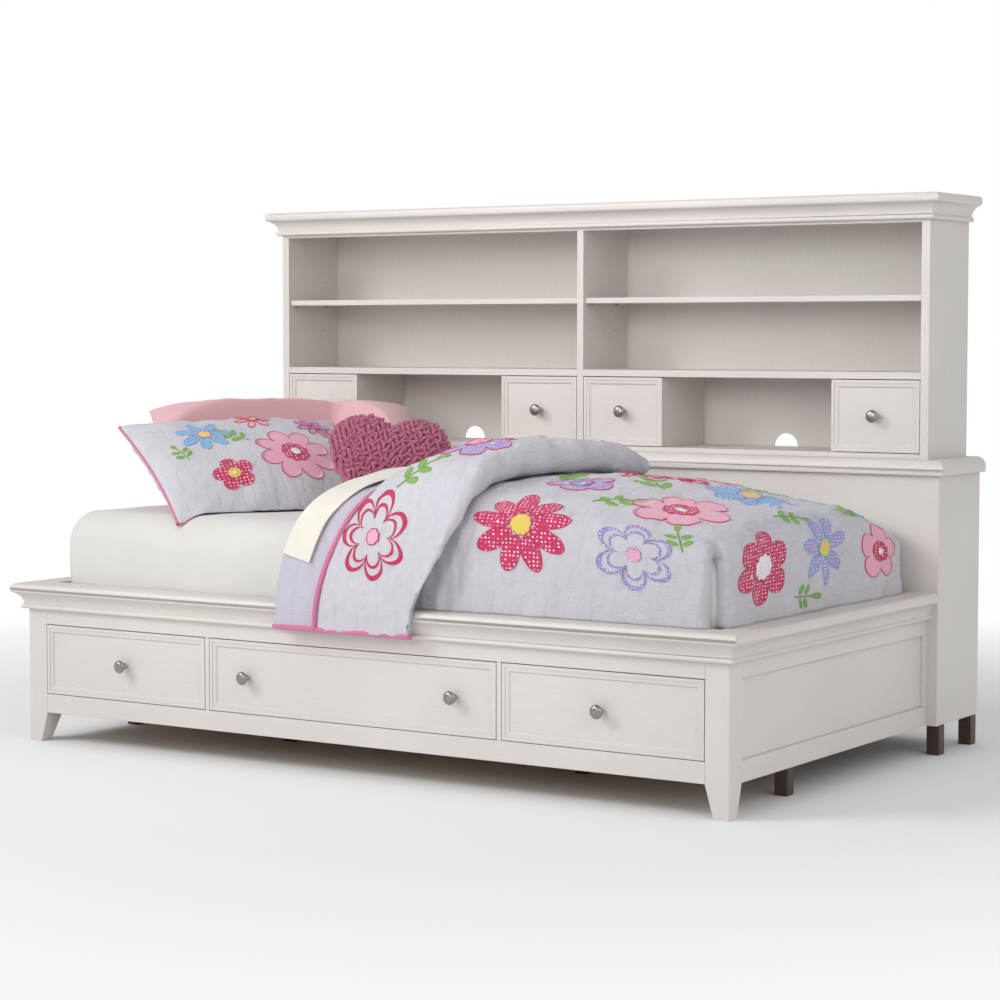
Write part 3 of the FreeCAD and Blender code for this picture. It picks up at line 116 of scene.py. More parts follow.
def add_node(tree, kind, inputs=(), **settings):
    """A node with its settings, and its inputs as values or as sockets to link from."""
    made = tree.nodes.new(kind)
    for key, value in settings.items():
        setattr(made, key, value)
    for key, value in dict(inputs).items():
        if isinstance(value, bpy.types.NodeSocket):
            tree.links.new(value, made.inputs[key])
        else:
            made.inputs[key].default_value = value
    return made


def math_node(tree, operation, *values):
    return add_node(tree, "ShaderNodeMath", enumerate(values), operation=operation).outputs[0]


def ramp(tree, factor, stops):
    """A colour ramp; stops are (place, grey or colour)."""
    made = add_node(tree, "ShaderNodeValToRGB", {0: factor})
    elements = made.color_ramp.elements
    while len(elements) < len(stops):
        elements.new(0.5)
    for element, (place, value) in zip(elements, stops):
        element.position = place
        element.color = (*value, 1) if hasattr(value, "__len__") else (value, value, value, 1)
    return made.outputs[0]


def mix(tree, factor, low, high, blend="MIX"):
    made = add_node(tree, "ShaderNodeMix", data_type="RGBA", blend_type=blend)
    for index, value in ((0, factor), (6, low), (7, high)):
        if isinstance(value, bpy.types.NodeSocket):
            tree.links.new(value, made.inputs[index])
        elif index == 0:
            made.inputs[index].default_value = value
        else:
            made.inputs[index].default_value = (*value[:3], 1)
    return made.outputs[2]


def new_group(name, inputs, outputs):
    """A shader node group with named float, vector or colour sockets, and its two ends."""
    tree = bpy.data.node_groups.new(name, "ShaderNodeTree")
    kinds = {"F": "NodeSocketFloat", "V": "NodeSocketVector", "C": "NodeSocketColor"}
    for label, kind, value in inputs:
        socket = tree.interface.new_socket(label, in_out="INPUT", socket_type=kinds[kind])
        if value is not None:
            socket.default_value = value
    for label, kind in outputs:
        tree.interface.new_socket(label, in_out="OUTPUT", socket_type=kinds[kind])
    return tree, tree.nodes.new("NodeGroupInput").outputs, tree.nodes.new("NodeGroupOutput").inputs


def use_group(tree, group, **values):
    made = tree.nodes.new("ShaderNodeGroup")
    made.node_tree = group
    for key, value in values.items():
        key = key.replace("_", " ")
        if isinstance(value, bpy.types.NodeSocket):
            tree.links.new(value, made.inputs[key])
        else:
            made.inputs[key].default_value = value
    return made.outputs


def new_material(name):
    """A material with one Principled shader; returns the material, its tree and the shader."""
    made = bpy.data.materials.new(name)
    made.use_nodes = True
    tree = made.node_tree
    shader = tree.nodes["Principled BSDF"]
    return made, tree, shader


def bumped(tree, shader, height, strength, distance):
    bump = add_node(
        tree, "ShaderNodeBump", {"Height": height, "Strength": strength, "Distance": distance}
    )
    tree.links.new(bump.outputs[0], shader.inputs["Normal"])


def brush_group():
    """Faint brush marks along a board, and a slow drift of tone over it."""
    tree, source, end = new_group(
        "brush_marks",
        [("Coordinates", "V", None), ("Stretch", "V", (1, 1, 1)), ("Fineness", "F", 300.0)],
        [("Marks", "F"), ("Drift", "F")],
    )
    placed = add_node(
        tree, "ShaderNodeVectorMath", {0: source["Coordinates"], 1: source["Stretch"]}, operation="MULTIPLY"
    ).outputs[0]
    marks = add_node(
        tree,
        "ShaderNodeTexNoise",
        {"Vector": placed, "Scale": source["Fineness"], "Detail": 3.0, "Roughness": 0.55},
    ).outputs[0]
    slow = add_node(
        tree,
        "ShaderNodeTexNoise",
        {"Vector": source["Coordinates"], "Scale": 2.3, "Detail": 2.0, "Roughness": 0.5},
    ).outputs[0]
    tree.links.new(marks, end["Marks"])
    tree.links.new(slow, end["Drift"])
    return tree


def paint_material(name, stretch):
    """Warm white satin paint, brushed along the boards."""
    settings = bpy.context.scene.bed_wood
    made, tree, shader = new_material(name)
    place = add_node(tree, "ShaderNodeTexCoord").outputs["Object"]
    marks = use_group(
        tree, bpy.data.node_groups["brush_marks"], Coordinates=place, Stretch=stretch, Fineness=420.0
    )
    base = Vector(settings.paint)
    deep, light = base * 0.955, base * 1.03
    tone = ramp(tree, marks["Drift"], [(0.3, deep), (0.7, light)])
    fine = ramp(tree, marks["Marks"], [(0.25, 0.93), (0.75, 1.0)])
    tree.links.new(mix(tree, 1.0, tone, fine, "MULTIPLY"), shader.inputs["Base Color"])
    gloss = ramp(tree, marks["Marks"], [(0.2, 0.34), (0.8, 0.44)])
    tree.links.new(gloss, shader.inputs["Roughness"])
    bumped(tree, shader, marks["Marks"], 0.10, 0.0006)
    return made


def bare_wood_material(name, tint, stretch, rough):
    """Sealed or stained wood with its growth rings as streaks along the board."""
    made, tree, shader = new_material(name)
    place = add_node(tree, "ShaderNodeTexCoord").outputs["Object"]
    marks = use_group(
        tree, bpy.data.node_groups["brush_marks"], Coordinates=place, Stretch=stretch, Fineness=90.0
    )
    base = Vector(tint)
    rings = ramp(
        tree, marks["Marks"], [(0.3, base * 0.72), (0.48, base), (0.56, base * 0.84), (0.75, base * 1.12)]
    )
    tree.links.new(rings, shader.inputs["Base Color"])
    shader.inputs["Roughness"].default_value = rough
    bumped(tree, shader, marks["Marks"], 0.15, 0.0008)
    return made


def metal_material(name, tint, rough, fineness):
    """Metal with fine uneven polish and a little tarnish."""
    made, tree, shader = new_material(name)
    place = add_node(tree, "ShaderNodeTexCoord").outputs["Object"]
    marks = use_group(
        tree, bpy.data.node_groups["brush_marks"], Coordinates=place, Stretch=(1, 1, 1), Fineness=fineness
    )
    base = Vector(tint)
    tree.links.new(
        ramp(tree, marks["Marks"], [(0.3, base * 0.8), (0.65, base * 1.1)]), shader.inputs["Base Color"]
    )
    tree.links.new(
        ramp(tree, marks["Marks"], [(0.25, rough * 0.75), (0.75, rough * 1.25)]), shader.inputs["Roughness"]
    )
    shader.inputs["Metallic"].default_value = 1.0
    bumped(tree, shader, marks["Marks"], 0.08, 0.0003)
    return made


def make_wood_materials():
    settings = bpy.context.scene.bed_wood
    brush_group()
    paint_material("paint_lengthwise", (0.05, 1, 1))
    paint_material("paint_upright", (1, 1, 0.05))
    paint_material("paint_crosswise", (1, 0.05, 1))
    bare_wood_material("softwood_lengthwise", settings.inner, (0.08, 1, 1), 0.55)
    bare_wood_material("softwood_crosswise", settings.inner, (1, 0.08, 1), 0.55)
    # the feet's near-black colour is their dark brown plus painted shade for the deep shadow under the cabinet
    bare_wood_material("dark_foot", settings.foot_and_shade, (1, 1, 0.08), 0.38)
    metal_material("pewter", settings.knob, 0.34, 260.0)
    metal_material("zinc", settings.steel, 0.4, 500.0)


# Mesh helpers -----------------------------------------------------------------------------------


def only(piece):
    """Select one object and make it active."""
    bpy.ops.object.select_all(action="DESELECT")
    piece.select_set(True)
    bpy.context.view_layer.objects.active = piece


def apply_modifier(piece, kind, **settings):
    made = piece.modifiers.new(kind.lower(), kind)
    for key, value in settings.items():
        setattr(made, key, value)
    only(piece)
    bpy.ops.object.modifier_apply(modifier=made.name)


def give(piece, material, body):
    """Its finish and the body it moves with."""
    piece.data.materials.clear()
    piece.data.materials.append(bpy.data.materials[material])
    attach(piece, body)
    return piece


def merged_copy(node, name):
    """A copy of a CAD node's mesh, merged, with its flat faces whole."""
    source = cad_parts[node]
    piece = bpy.data.objects.new(name, source.data.copy())
    bpy.context.scene.collection.objects.link(piece)
    piece.data.materials.clear()
    only(piece)
    bpy.ops.object.mode_set(mode="EDIT")
    bpy.ops.mesh.select_all(action="SELECT")
    bpy.ops.mesh.remove_doubles(threshold=0.00002)
    bpy.ops.mesh.dissolve_limited(angle_limit=math.radians(0.6))
    bpy.ops.object.mode_set(mode="OBJECT")
    return piece


def soften(node, material, body, edge=None):
    """Round a board's edges slightly, as sanding and paint do, and let it stand for its node."""
    piece = merged_copy(node, f"{node}_eased")
    width = bpy.context.scene.bed_wood.edge if edge is None else edge
    apply_modifier(
        piece,
        "BEVEL",
        width=width,
        segments=2,
        limit_method="ANGLE",
        angle_limit=math.radians(38),
        use_clamp_overlap=True,
        miter_outer="MITER_ARC",
    )
    only(piece)
    bpy.ops.object.shade_smooth_by_angle(angle=math.radians(50))
    apply_modifier(piece, "WEIGHTED_NORMAL", weight=60, keep_sharp=True)
    give(piece, material, body)
    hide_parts(node)
    return piece


# Rigid pieces -----------------------------------------------------------------------------------

LENGTHWISE = """front_frame front_ledge_cap front_ledge_cove base_front_panel base_top base_moulding hutch_deck
fixed_shelves loose_shelves hutch_header hutch_top crown_moulding""".split()
UPRIGHT = """front_leg_left front_leg_right base_sides hutch_side_left hutch_side_right hutch_divider
back_panels drawer_walls""".split()
CROSSWISE = ["end_frames", "end_panels", "end_ledges"]


class BED_OT_painted_boards(bpy.types.Operator):
    """Frame, ledge, cabinet and bookcase in warm white paint"""

    bl_idname = "bed.painted_boards"
    bl_label = "Painted boards"

    def execute(self, context):
        for names, material in (
            (LENGTHWISE, "paint_lengthwise"),
            (UPRIGHT, "paint_upright"),
            (CROSSWISE, "paint_crosswise"),
        ):
            for name in names:
                soften(name, material, "bed")
        for drawer in DRAWERS:
            soften(f"{drawer}_front", "paint_lengthwise", drawer)
        return {"FINISHED"}


class BED_OT_inner_wood(bpy.types.Operator):
    """Drawer boxes, runners, slats and their case, and the dark support feet"""

    bl_idname = "bed.inner_wood"
    bl_label = "Inner wood"

    def execute(self, context):
        soften("drawer_case", "softwood_crosswise", "bed")
        soften("drawer_runners", "softwood_crosswise", "bed", 0.0005)
        soften("slat_ledgers", "softwood_crosswise", "bed")
        soften("bed_slats", "softwood_crosswise", "bed")
        soften("support_feet", "dark_foot", "bed", 0.003)
        for drawer in DRAWERS:
            soften(f"{drawer}_box", "softwood_lengthwise", drawer, 0.0008)
        return {"FINISHED"}


class BED_OT_hardware(bpy.types.Operator):
    """Brackets, bolts and shelf pins"""

    bl_idname = "bed.hardware"
    bl_label = "Brackets, bolts and pins"

    def execute(self, context):
        for name in ("corner_brackets", "frame_bolts", "shelf_pins"):
            soften(name, "zinc", "bed", 0.0004)
        return {"FINISHED"}


KNOB_RADIUS = 0.0165

# A knob's half section from its tip to its base: how far it lies from the front, and its radius.
KNOB_SECTION = (
    (0.0270, 0.0), (0.0268, 0.0040), (0.0261, 0.0085), (0.0252, 0.0116), (0.0238, 0.0135), (0.0218, 0.0151),
    (0.0196, 0.0163), (0.0186, 0.0165), (0.0176, 0.0161), (0.0160, 0.0143), (0.0142, 0.0111), (0.0124, 0.0080),
    (0.0108, 0.0060), (0.0090, 0.0055), (0.0066, 0.0055), (0.0048, 0.0059), (0.0032, 0.0068), (0.0022, 0.0078),
    (0.0012, 0.0080), (0.0, 0.0080),
)


class BED_OT_knobs(bpy.types.Operator):
    """Turned mushroom knobs on the drawers"""

    bl_idname = "bed.knobs"
    bl_label = "Knobs"

    def turned(self, name, x, y, z):
        """Spin the half section round an axis that points to the front."""
        bpy.ops.object.select_all(action="DESELECT")
        bpy.ops.mesh.primitive_circle_add(vertices=3, radius=0.01, location=(0, 0, 0))
        piece = bpy.context.object
        piece.name = name
        bpy.ops.object.mode_set(mode="EDIT")
        bpy.ops.mesh.select_all(action="SELECT")
        bpy.ops.mesh.delete(type="VERT")
        bpy.ops.object.mode_set(mode="OBJECT")
        piece.data.vertices.add(len(KNOB_SECTION))
        piece.data.edges.add(len(KNOB_SECTION) - 1)
        for i, (out, radius) in enumerate(KNOB_SECTION):
            piece.data.vertices[i].co = (x + radius, y - out, z)
        for i in range(len(KNOB_SECTION) - 1):
            piece.data.edges[i].vertices = (i, i + 1)
        only(piece)
        bpy.ops.object.mode_set(mode="EDIT")
        bpy.ops.mesh.select_all(action="SELECT")
        bpy.ops.mesh.spin(steps=48, angle=2 * math.pi, center=(x, y, z), axis=(0, 1, 0))
        bpy.ops.mesh.select_all(action="SELECT")
        bpy.ops.mesh.remove_doubles(threshold=0.00002)
        bpy.ops.mesh.select_all(action="SELECT")
        bpy.ops.mesh.normals_make_consistent(inside=False)
        bpy.ops.object.mode_set(mode="OBJECT")
        bpy.ops.object.shade_smooth_by_angle(angle=math.radians(40))
        return piece

    def execute(self, context):
        for drawer in DRAWERS:
            low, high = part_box(f"{drawer}_knob")
            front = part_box(f"{drawer}_front")[0].y
            middle = (low + high) / 2
            spots = [middle.x]
            if drawer == "centre_drawer":
                spots = [low.x + KNOB_RADIUS, high.x - KNOB_RADIUS]
            parts = [self.turned(f"{drawer}_pull", x, front, middle.z) for x in spots]
            bpy.ops.object.select_all(action="DESELECT")
            for part in parts:
                part.select_set(True)
            bpy.context.view_layer.objects.active = parts[0]
            if len(parts) > 1:
                bpy.ops.object.join()
            piece = give(parts[0], "pewter", drawer)
            piece.name = f"{drawer}_pull"
            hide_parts(f"{drawer}_knob")
        return {"FINISHED"}


# Cloth materials --------------------------------------------------------------------------------


def weave_group():
    """A plain weave's threads on a cloth's own coordinates, in metres."""
    tree, source, end = new_group(
        "plain_weave", [("Coordinates", "V", None), ("Threads", "F", 900.0)], [("Height", "F")]
    )
    split = add_node(tree, "ShaderNodeSeparateXYZ", {0: source["Coordinates"]}).outputs
    turn = math_node(tree, "MULTIPLY", source["Threads"], 2 * math.pi)
    across = math_node(tree, "SINE", math_node(tree, "MULTIPLY", split[0], turn))
    along = math_node(tree, "SINE", math_node(tree, "MULTIPLY", split[1], turn))
    crossed = math_node(tree, "MULTIPLY", across, along)
    tree.links.new(math_node(tree, "MULTIPLY_ADD", crossed, 0.5, 0.5), end["Height"])


def crinkle_group():
    """The small puckers between a quilt's wavering lines of stitching, and the lines themselves; Shade repeats
    the height, for painted shade in the low places.
    """
    tree, source, end = new_group(
        "stitched_crinkle",
        [("Coordinates", "V", None), ("Pitch", "F", 0.022)],
        [("Height", "F"), ("Shade", "F")],
    )
    wander = add_node(
        tree, "ShaderNodeTexNoise", {"Vector": source["Coordinates"], "Scale": 14.0, "Detail": 2.0}
    ).outputs[1]
    bent = add_node(
        tree,
        "ShaderNodeVectorMath",
        {0: wander, 1: (0.06, 0.06, 0.0), 2: source["Coordinates"]},
        operation="MULTIPLY_ADD",
    ).outputs[0]
    split = add_node(tree, "ShaderNodeSeparateXYZ", {0: bent}).outputs
    lines = math_node(tree, "PINGPONG", math_node(tree, "DIVIDE", split[0], source["Pitch"]), 0.5)
    seam = add_node(tree, "ShaderNodeMapRange", {0: lines, 1: 0.0, 2: 0.16, 3: 0.0, 4: 1.0}).outputs[0]
    stretched = add_node(
        tree, "ShaderNodeVectorMath", {0: bent, 1: (1.0, 1.9, 1.0)}, operation="MULTIPLY"
    ).outputs[0]
    puckers = add_node(
        tree, "ShaderNodeTexNoise", {"Vector": stretched, "Scale": 48.0, "Detail": 4.0, "Roughness": 0.6}
    ).outputs[0]
    height = math_node(tree, "MULTIPLY_ADD", seam, 0.28, math_node(tree, "MULTIPLY", puckers, 1.1))
    tree.links.new(height, end["Height"])
    # Shade is the same height: the stitched grooves and the puckers' hollows become painted shade in the colour
    tree.links.new(height, end["Shade"])


def cloth_material(name, tint, pattern="plain", second=(1, 1, 1), pitch=0.02, crinkled=0.0, rough=0.86):
    """Woven cotton: plain, striped, dotted or gingham, with or without quilted crinkles, whose low places carry
    painted shade.
    """
    made, tree, shader = new_material(name)
    place = add_node(tree, "ShaderNodeUVMap", uv_map="cloth").outputs[0]
    threads = bpy.data.node_groups["plain_weave"]
    weave = use_group(tree, threads, Coordinates=place, Threads=800.0)["Height"]
    split = add_node(tree, "ShaderNodeSeparateXYZ", {0: place}).outputs
    colours = add_node(
        tree, "ShaderNodeTexNoise", {"Vector": place, "Scale": 9.0, "Detail": 2.0}
    ).outputs[0]
    base = Vector(tint)
    shade = ramp(tree, colours, [(0.3, base * 0.965), (0.7, base)])
    if pattern == "stripes":
        bands = math_node(tree, "PINGPONG", math_node(tree, "DIVIDE", split[1], pitch), 0.5)
        mask = add_node(tree, "ShaderNodeMapRange", {0: bands, 1: 0.12, 2: 0.2, 3: 1.0, 4: 0.0}).outputs[0]
        shade = mix(tree, mask, shade, second)
    if pattern == "dots":
        dots = add_node(
            tree, "ShaderNodeTexVoronoi", {"Vector": place, "Scale": 1 / pitch, "Randomness": 0.25}
        ).outputs[0]
        mask = add_node(tree, "ShaderNodeMapRange", {0: dots, 1: 0.2, 2: 0.26, 3: 1.0, 4: 0.0}).outputs[0]
        shade = mix(tree, mask, shade, second)
    if pattern == "gingham":
        for way in (0, 1):
            bands = math_node(tree, "PINGPONG", math_node(tree, "DIVIDE", split[way], pitch), 0.5)
            mask = math_node(tree, "MULTIPLY", math_node(tree, "LESS_THAN", bands, 0.25), 0.5)
            shade = mix(tree, mask, shade, second)
    height = math_node(tree, "MULTIPLY", weave, 0.12)
    if crinkled:
        crinkle = use_group(
            tree, bpy.data.node_groups["stitched_crinkle"], Coordinates=place, Pitch=crinkled
        )
        # painted shade: the colour darkens by up to 7% along the stitched grooves and in the puckers' hollows
        tone = ramp(tree, crinkle["Shade"], [(0.35, 0.93), (0.8, 1.0)])
        shade = mix(tree, 1.0, shade, tone, "MULTIPLY")
        height = math_node(tree, "ADD", height, crinkle["Height"])
    tree.links.new(shade, shader.inputs["Base Color"])
    shader.inputs["Roughness"].default_value = rough
    shader.inputs["Sheen Weight"].default_value = 0.25
    shader.inputs["Sheen Roughness"].default_value = 0.5
    shader.inputs["Specular IOR Level"].default_value = 0.25
    bumped(tree, shader, height, 0.85, 0.0050 if crinkled else 0.0012)
    return made


def make_cloth_materials():
    settings = bpy.context.scene.bed_linen
    weave_group()
    crinkle_group()
    white, pink = settings.quilt, settings.pink
    cloth_material("quilted_white", white, crinkled=0.03)
    cloth_material("pinstripe", settings.lining, "stripes", (0.60, 0.56, 0.68), 0.0055, crinkled=0.05)
    cloth_material("fitted_sheet", settings.fitted)
    cloth_material("top_sheet_cotton", settings.sheet)
    cloth_material("pillow_cotton", settings.pillow)
    cloth_material("binding", settings.binding)
    cloth_material("knit_yarn", settings.knit)
    cloth_material("pink_dots", pink, "dots", (0.86, 0.80, 0.84), 0.011)
    cloth_material("rose_gingham", settings.rose, "gingham", (0.80, 0.42, 0.54), 0.006)
    cloth_material("lilac_dots", settings.lilac, "dots", (0.84, 0.82, 0.9), 0.010)
    cloth_material("sky", settings.sky)
    cloth_material("leaf", settings.leaf)
    cloth_material("sun", settings.sun)
    cloth_material("white_patch", (0.80, 0.78, 0.82))
    cloth_material("pink_thread", pink)


# Cloth helpers ----------------------------------------------------------------------------------


def drift(points, scale, seed):
    """Smooth noise from -1 to 1 at each point."""
    shift = Vector((seed * 7.31, seed * 3.17, seed * 1.71))
    return np.array([noise.noise(Vector(p) * scale + shift) for p in points])


def smooth(low, high, value):
    share = np.clip((value - low) / (high - low), 0, 1)
    return share * share * (3 - 2 * share)


def new_piece(name, points, faces, flat, material):
    """A smooth mesh whose corners carry the cloth's flat coordinates, in metres."""
    mesh = bpy.data.meshes.new(name)
    mesh.from_pydata([tuple(p) for p in points], [], [tuple(f) for f in faces])
    layer = mesh.uv_layers.new(name="cloth")
    corners = [flat[corner] for face in faces for corner in face]
    layer.data.foreach_set("uv", np.array(corners, float)[:, :2].ravel())
    mesh.materials.append(bpy.data.materials[material])
    mesh.polygons.foreach_set("use_smooth", [True] * len(mesh.polygons))
    piece = bpy.data.objects.new(name, mesh)
    bpy.context.scene.collection.objects.link(piece)
    return piece


def grid_faces(rows, columns, round_rows=False, round_columns=False):
    faces = []
    for i in range(rows - (not round_rows)):
        for j in range(columns - (not round_columns)):
            k, m = (i + 1) % rows, (j + 1) % columns
            faces.append((i * columns + j, k * columns + j, k * columns + m, i * columns + m))
    return faces


def merge(piece, reach=0.0002, outwards=True):
    only(piece)
    bpy.ops.object.mode_set(mode="EDIT")
    bpy.ops.mesh.select_all(action="SELECT")
    bpy.ops.mesh.remove_doubles(threshold=reach)
    if outwards:
        bpy.ops.mesh.normals_make_consistent(inside=False)
    bpy.ops.object.mode_set(mode="OBJECT")


def vertices_of(piece):
    flat = np.zeros(len(piece.data.vertices) * 3)
    piece.data.vertices.foreach_get("co", flat)
    return flat.reshape(-1, 3)


def normals_of(piece):
    flat = np.zeros(len(piece.data.vertices) * 3)
    piece.data.vertices.foreach_get("normal", flat)
    return flat.reshape(-1, 3)


def put_vertices(piece, points):
    piece.data.vertices.foreach_set("co", np.asarray(points, float).ravel())
    piece.data.update()


def wrapped_box(name, low, high, radius, step, sides, material):
    """Cloth wrapped over a block: the named sides with rounded edges, laid out flat round the top."""
    points, faces, flat = [], [], []
    x0, y0, z0 = low
    x1, y1, z1 = high
    spans = {"top": (x1 - x0, y1 - y0), "front": (x1 - x0, z1 - z0), "back": (x1 - x0, z1 - z0),
             "right": (y1 - y0, z1 - z0), "left": (y1 - y0, z1 - z0)}
    for side in sides:
        across, down = (max(2, round(span / step)) + 1 for span in spans[side])
        start = len(points)
        for i in range(down):
            for j in range(across):
                u, v = j / (across - 1), i / (down - 1)
                x, y, z = x0 + (x1 - x0) * u, y0 + (y1 - y0) * u, z0 + (z1 - z0) * v
                drop = z1 - z
                if side == "top":
                    y = y0 + (y1 - y0) * v
                    points.append((x, y, z1))
                    flat.append((x, y))
                elif side in ("front", "back"):
                    points.append((x, y0 if side == "front" else y1, z))
                    flat.append((x, y0 - drop if side == "front" else y1 + drop))
                else:
                    points.append((x1 if side == "right" else x0, y, z))
                    flat.append((x1 + drop if side == "right" else x0 - drop, y))
        for face in grid_faces(down, across):
            faces.append(tuple(start + corner for corner in face))
    points = np.array(points)
    core = np.clip(points, np.array(low) + radius, np.array(high) - radius)
    core[:, 2] = np.minimum(points[:, 2], z1 - radius)
    away = points - core
    reach = np.maximum(np.linalg.norm(away, axis=1), 1e-9)[:, None]
    points = core + away / reach * radius
    piece = new_piece(name, points, faces, flat, material)
    merge(piece)
    return piece


def tube(name, path, radius, sides, material, ends=True):
    """A round cord along a path of points."""
    path = np.array(path)
    ways = np.gradient(path, axis=0)
    ways /= np.linalg.norm(ways, axis=1)[:, None]
    points, flat = [], []
    side = np.cross(ways[0], (0.31, 0.2, 0.93))
    run = 0.0
    for i, (place, way) in enumerate(zip(path, ways)):
        side = side - way * (side @ way)
        side /= np.linalg.norm(side)
        up = np.cross(way, side)
        run += 0 if i == 0 else np.linalg.norm(path[i] - path[i - 1])
        for k in range(sides):
            turn = 2 * math.pi * k / sides
            points.append(place + radius * (math.cos(turn) * side + math.sin(turn) * up))
            flat.append((run, radius * turn))
    faces = grid_faces(len(path), sides, round_columns=True)
    if ends:
        last = (len(path) - 1) * sides
        faces += [tuple(range(sides)), tuple(last + k for k in range(sides - 1, -1, -1))]
    piece = new_piece(name, points, faces, flat, material)
    merge(piece, 0.00001)
    return piece


class Laid:
    """Finds where a place on a cloth's flat cut lies on the finished piece."""

    def __init__(self, piece):
        mesh = piece.data
        layer = mesh.uv_layers["cloth"].data
        self.corners, flat, faces = [], [], []
        for face in mesh.polygons:
            ring = list(face.loop_indices)
            for k in range(1, len(ring) - 1):
                trio = (ring[0], ring[k], ring[k + 1])
                faces.append((len(flat), len(flat) + 1, len(flat) + 2))
                for corner in trio:
                    flat.append((*layer[corner].uv, 0.0))
                self.corners.append([mesh.loops[corner].vertex_index for corner in trio])
        self.flat, self.tree, self.mesh = flat, BVHTree.FromPolygons(flat, faces), mesh

    def at(self, s, t):
        """The point and normal at a flat place, or None off the cloth."""
        place, _, index, gap = self.tree.find_nearest(Vector((s, t, 0)))
        if index is None or gap > 0.004:
            return None
        a, b, c = (Vector(self.flat[3 * index + k]) for k in range(3))
        whole = (b - a).cross(c - a).z
        if abs(whole) < 1e-14:
            return None
        share_b = (place - a).cross(c - a).z / whole
        share_c = (b - a).cross(place - a).z / whole
        shares = (1 - share_b - share_c, share_b, share_c)
        trio = [self.mesh.vertices[v] for v in self.corners[index]]
        point = sum((v.co * w for v, w in zip(trio, shares)), Vector())
        normal = sum((v.normal * w for v, w in zip(trio, shares)), Vector())
        return point, normal.normalized()


# Applique ---------------------------------------------------------------------------------------

RIM = 0.0022  # width of the satin stitch round a patch
# The stitch's section: how far out in its widths, and its height over the cloth.
RIM_SECTION = ((-1, 0.0012), (-0.8, 0.0024), (-0.2, 0.0024), (0, 0.0006), (0, -0.0015))


def petal_line(petals, size, depth, point):
    """A flower's outline: its radius at an angle."""

    def radius(turn):
        wave = abs(math.cos(petals * turn / 2)) ** point
        return size * (1 - depth + depth * wave)

    return radius


def leaf_line(size, slim):
    def radius(turn):
        return size * slim / math.sqrt((slim * math.cos(turn)) ** 2 + math.sin(turn) ** 2)

    return radius


class Patches:
    """Gathers patches sewn on one cloth into one piece with several finishes."""

    def __init__(self, cloth):
        self.cloth, self.points, self.faces, self.flat = Laid(cloth), [], [], []
        self.finish, self.names = [], []

    def add(self, s, t, turn, line, finish, rim=None, lift=0.0, hollow=0.0, count=72):
        """A patch round (s, t); hollow is the share of its radius left open in its middle."""
        shares = [hollow, 0.3 + hollow * 0.7, 0.6 + hollow * 0.4, 0.85 + hollow * 0.15]
        start = len(self.points)
        radii = [line(2 * math.pi * k / count) for k in range(count)]
        rows = [(share, 0.0, 0.0012) for share in shares]
        rows += [(1, RIM * out, height) for out, height in RIM_SECTION]
        if hollow:
            rows.insert(0, (hollow, 0.0, -0.0015))
        for share, out, height in rows:
            for k in range(count):
                angle = turn + 2 * math.pi * k / count
                reach = max(radii[k] * share + out, 0.0)
                u, v = s + reach * math.cos(angle), t + reach * math.sin(angle)
                found = self.cloth.at(u, v)
                if found is None:
                    del self.points[start:], self.flat[start:]
                    return False
                point, normal = found
                self.points.append(point + normal * (height + lift if height > 0 else height))
                self.flat.append((u, v))
        for name in (finish, rim or finish):
            if name not in self.names:
                self.names.append(name)
        inner = len(rows) - len(RIM_SECTION)
        for face in grid_faces(len(rows), count, round_columns=True):
            self.faces.append(tuple(start + corner for corner in face))
            row = min(face) // count
            self.finish.append(self.names.index(finish if row < inner else rim or finish))
        return True

    def piece(self, name):
        made = new_piece(name, self.points, self.faces, self.flat, self.names[0])
        for extra in self.names[1:]:
            made.data.materials.append(bpy.data.materials[extra])
        made.data.polygons.foreach_set("material_index", self.finish)
        merge(made, 0.00001, outwards=False)
        return made

    def daisy(self, s, t, size, turn, finish, rim, heart, petals=8):
        """Separate rounded petals round a button."""
        for k in range(petals):
            angle = turn + 2 * math.pi * k / petals
            away = size * 0.62
            self.add(
                s + away * math.cos(angle), t + away * math.sin(angle), angle,
                leaf_line(size * 0.38, 0.52), finish, rim, count=28,
            )
        self.add(s, t, 0, petal_line(10, size * 0.25, 0.12, 1), heart, rim, 0.001, count=60)

    def blossom(self, s, t, size, turn, finish, rim, heart, petals=5):
        """One patch with lobes, a scalloped ring and a button."""
        self.add(s, t, turn, petal_line(petals, size, 0.42, 0.6), finish, rim, count=petals * 18)
        self.add(s, t, turn, petal_line(9, size * 0.36, 0.14, 1), heart, rim, 0.0012, count=72)
        self.add(s, t, turn, petal_line(6, size * 0.15, 0.1, 1), "white_patch", heart, 0.0026, count=36)

    def ring(self, s, t, size, turn, finish, petals):
        """A flower as two stitched outlines round a button."""
        self.add(s, t, turn, petal_line(petals, size, 0.45, 0.7), finish, hollow=0.88, count=petals * 16)
        self.add(s, t, turn, petal_line(petals, size * 0.72, 0.4, 0.7), finish, hollow=0.9, count=petals * 14)
        self.add(s, t, turn, petal_line(8, size * 0.2, 0.14, 1), "rose_gingham", finish, 0.0012, count=64)

    def sprig(self, s, t, size, turn, finish="leaf"):
        """A short stem with pairs of leaves and one at its end."""
        way, side = (math.cos(turn), math.sin(turn)), (-math.sin(turn), math.cos(turn))
        for k in range(12):
            run = size * k / 12
            self.add(s + way[0] * run, t + way[1] * run, turn, leaf_line(size * 0.055, 0.4), finish, count=12)
        for k, run in enumerate((0.3, 0.3, 0.62, 0.62, 1.08)):
            hand = 0 if k == 4 else (-1) ** k
            away = size * 0.2 * hand
            u = s + way[0] * size * run + side[0] * away
            v = t + way[1] * size * run + side[1] * away
            self.add(u, v, turn + 0.9 * hand, leaf_line(size * 0.17, 0.5), finish, "leaf", count=28)


# Bedding ----------------------------------------------------------------------------------------


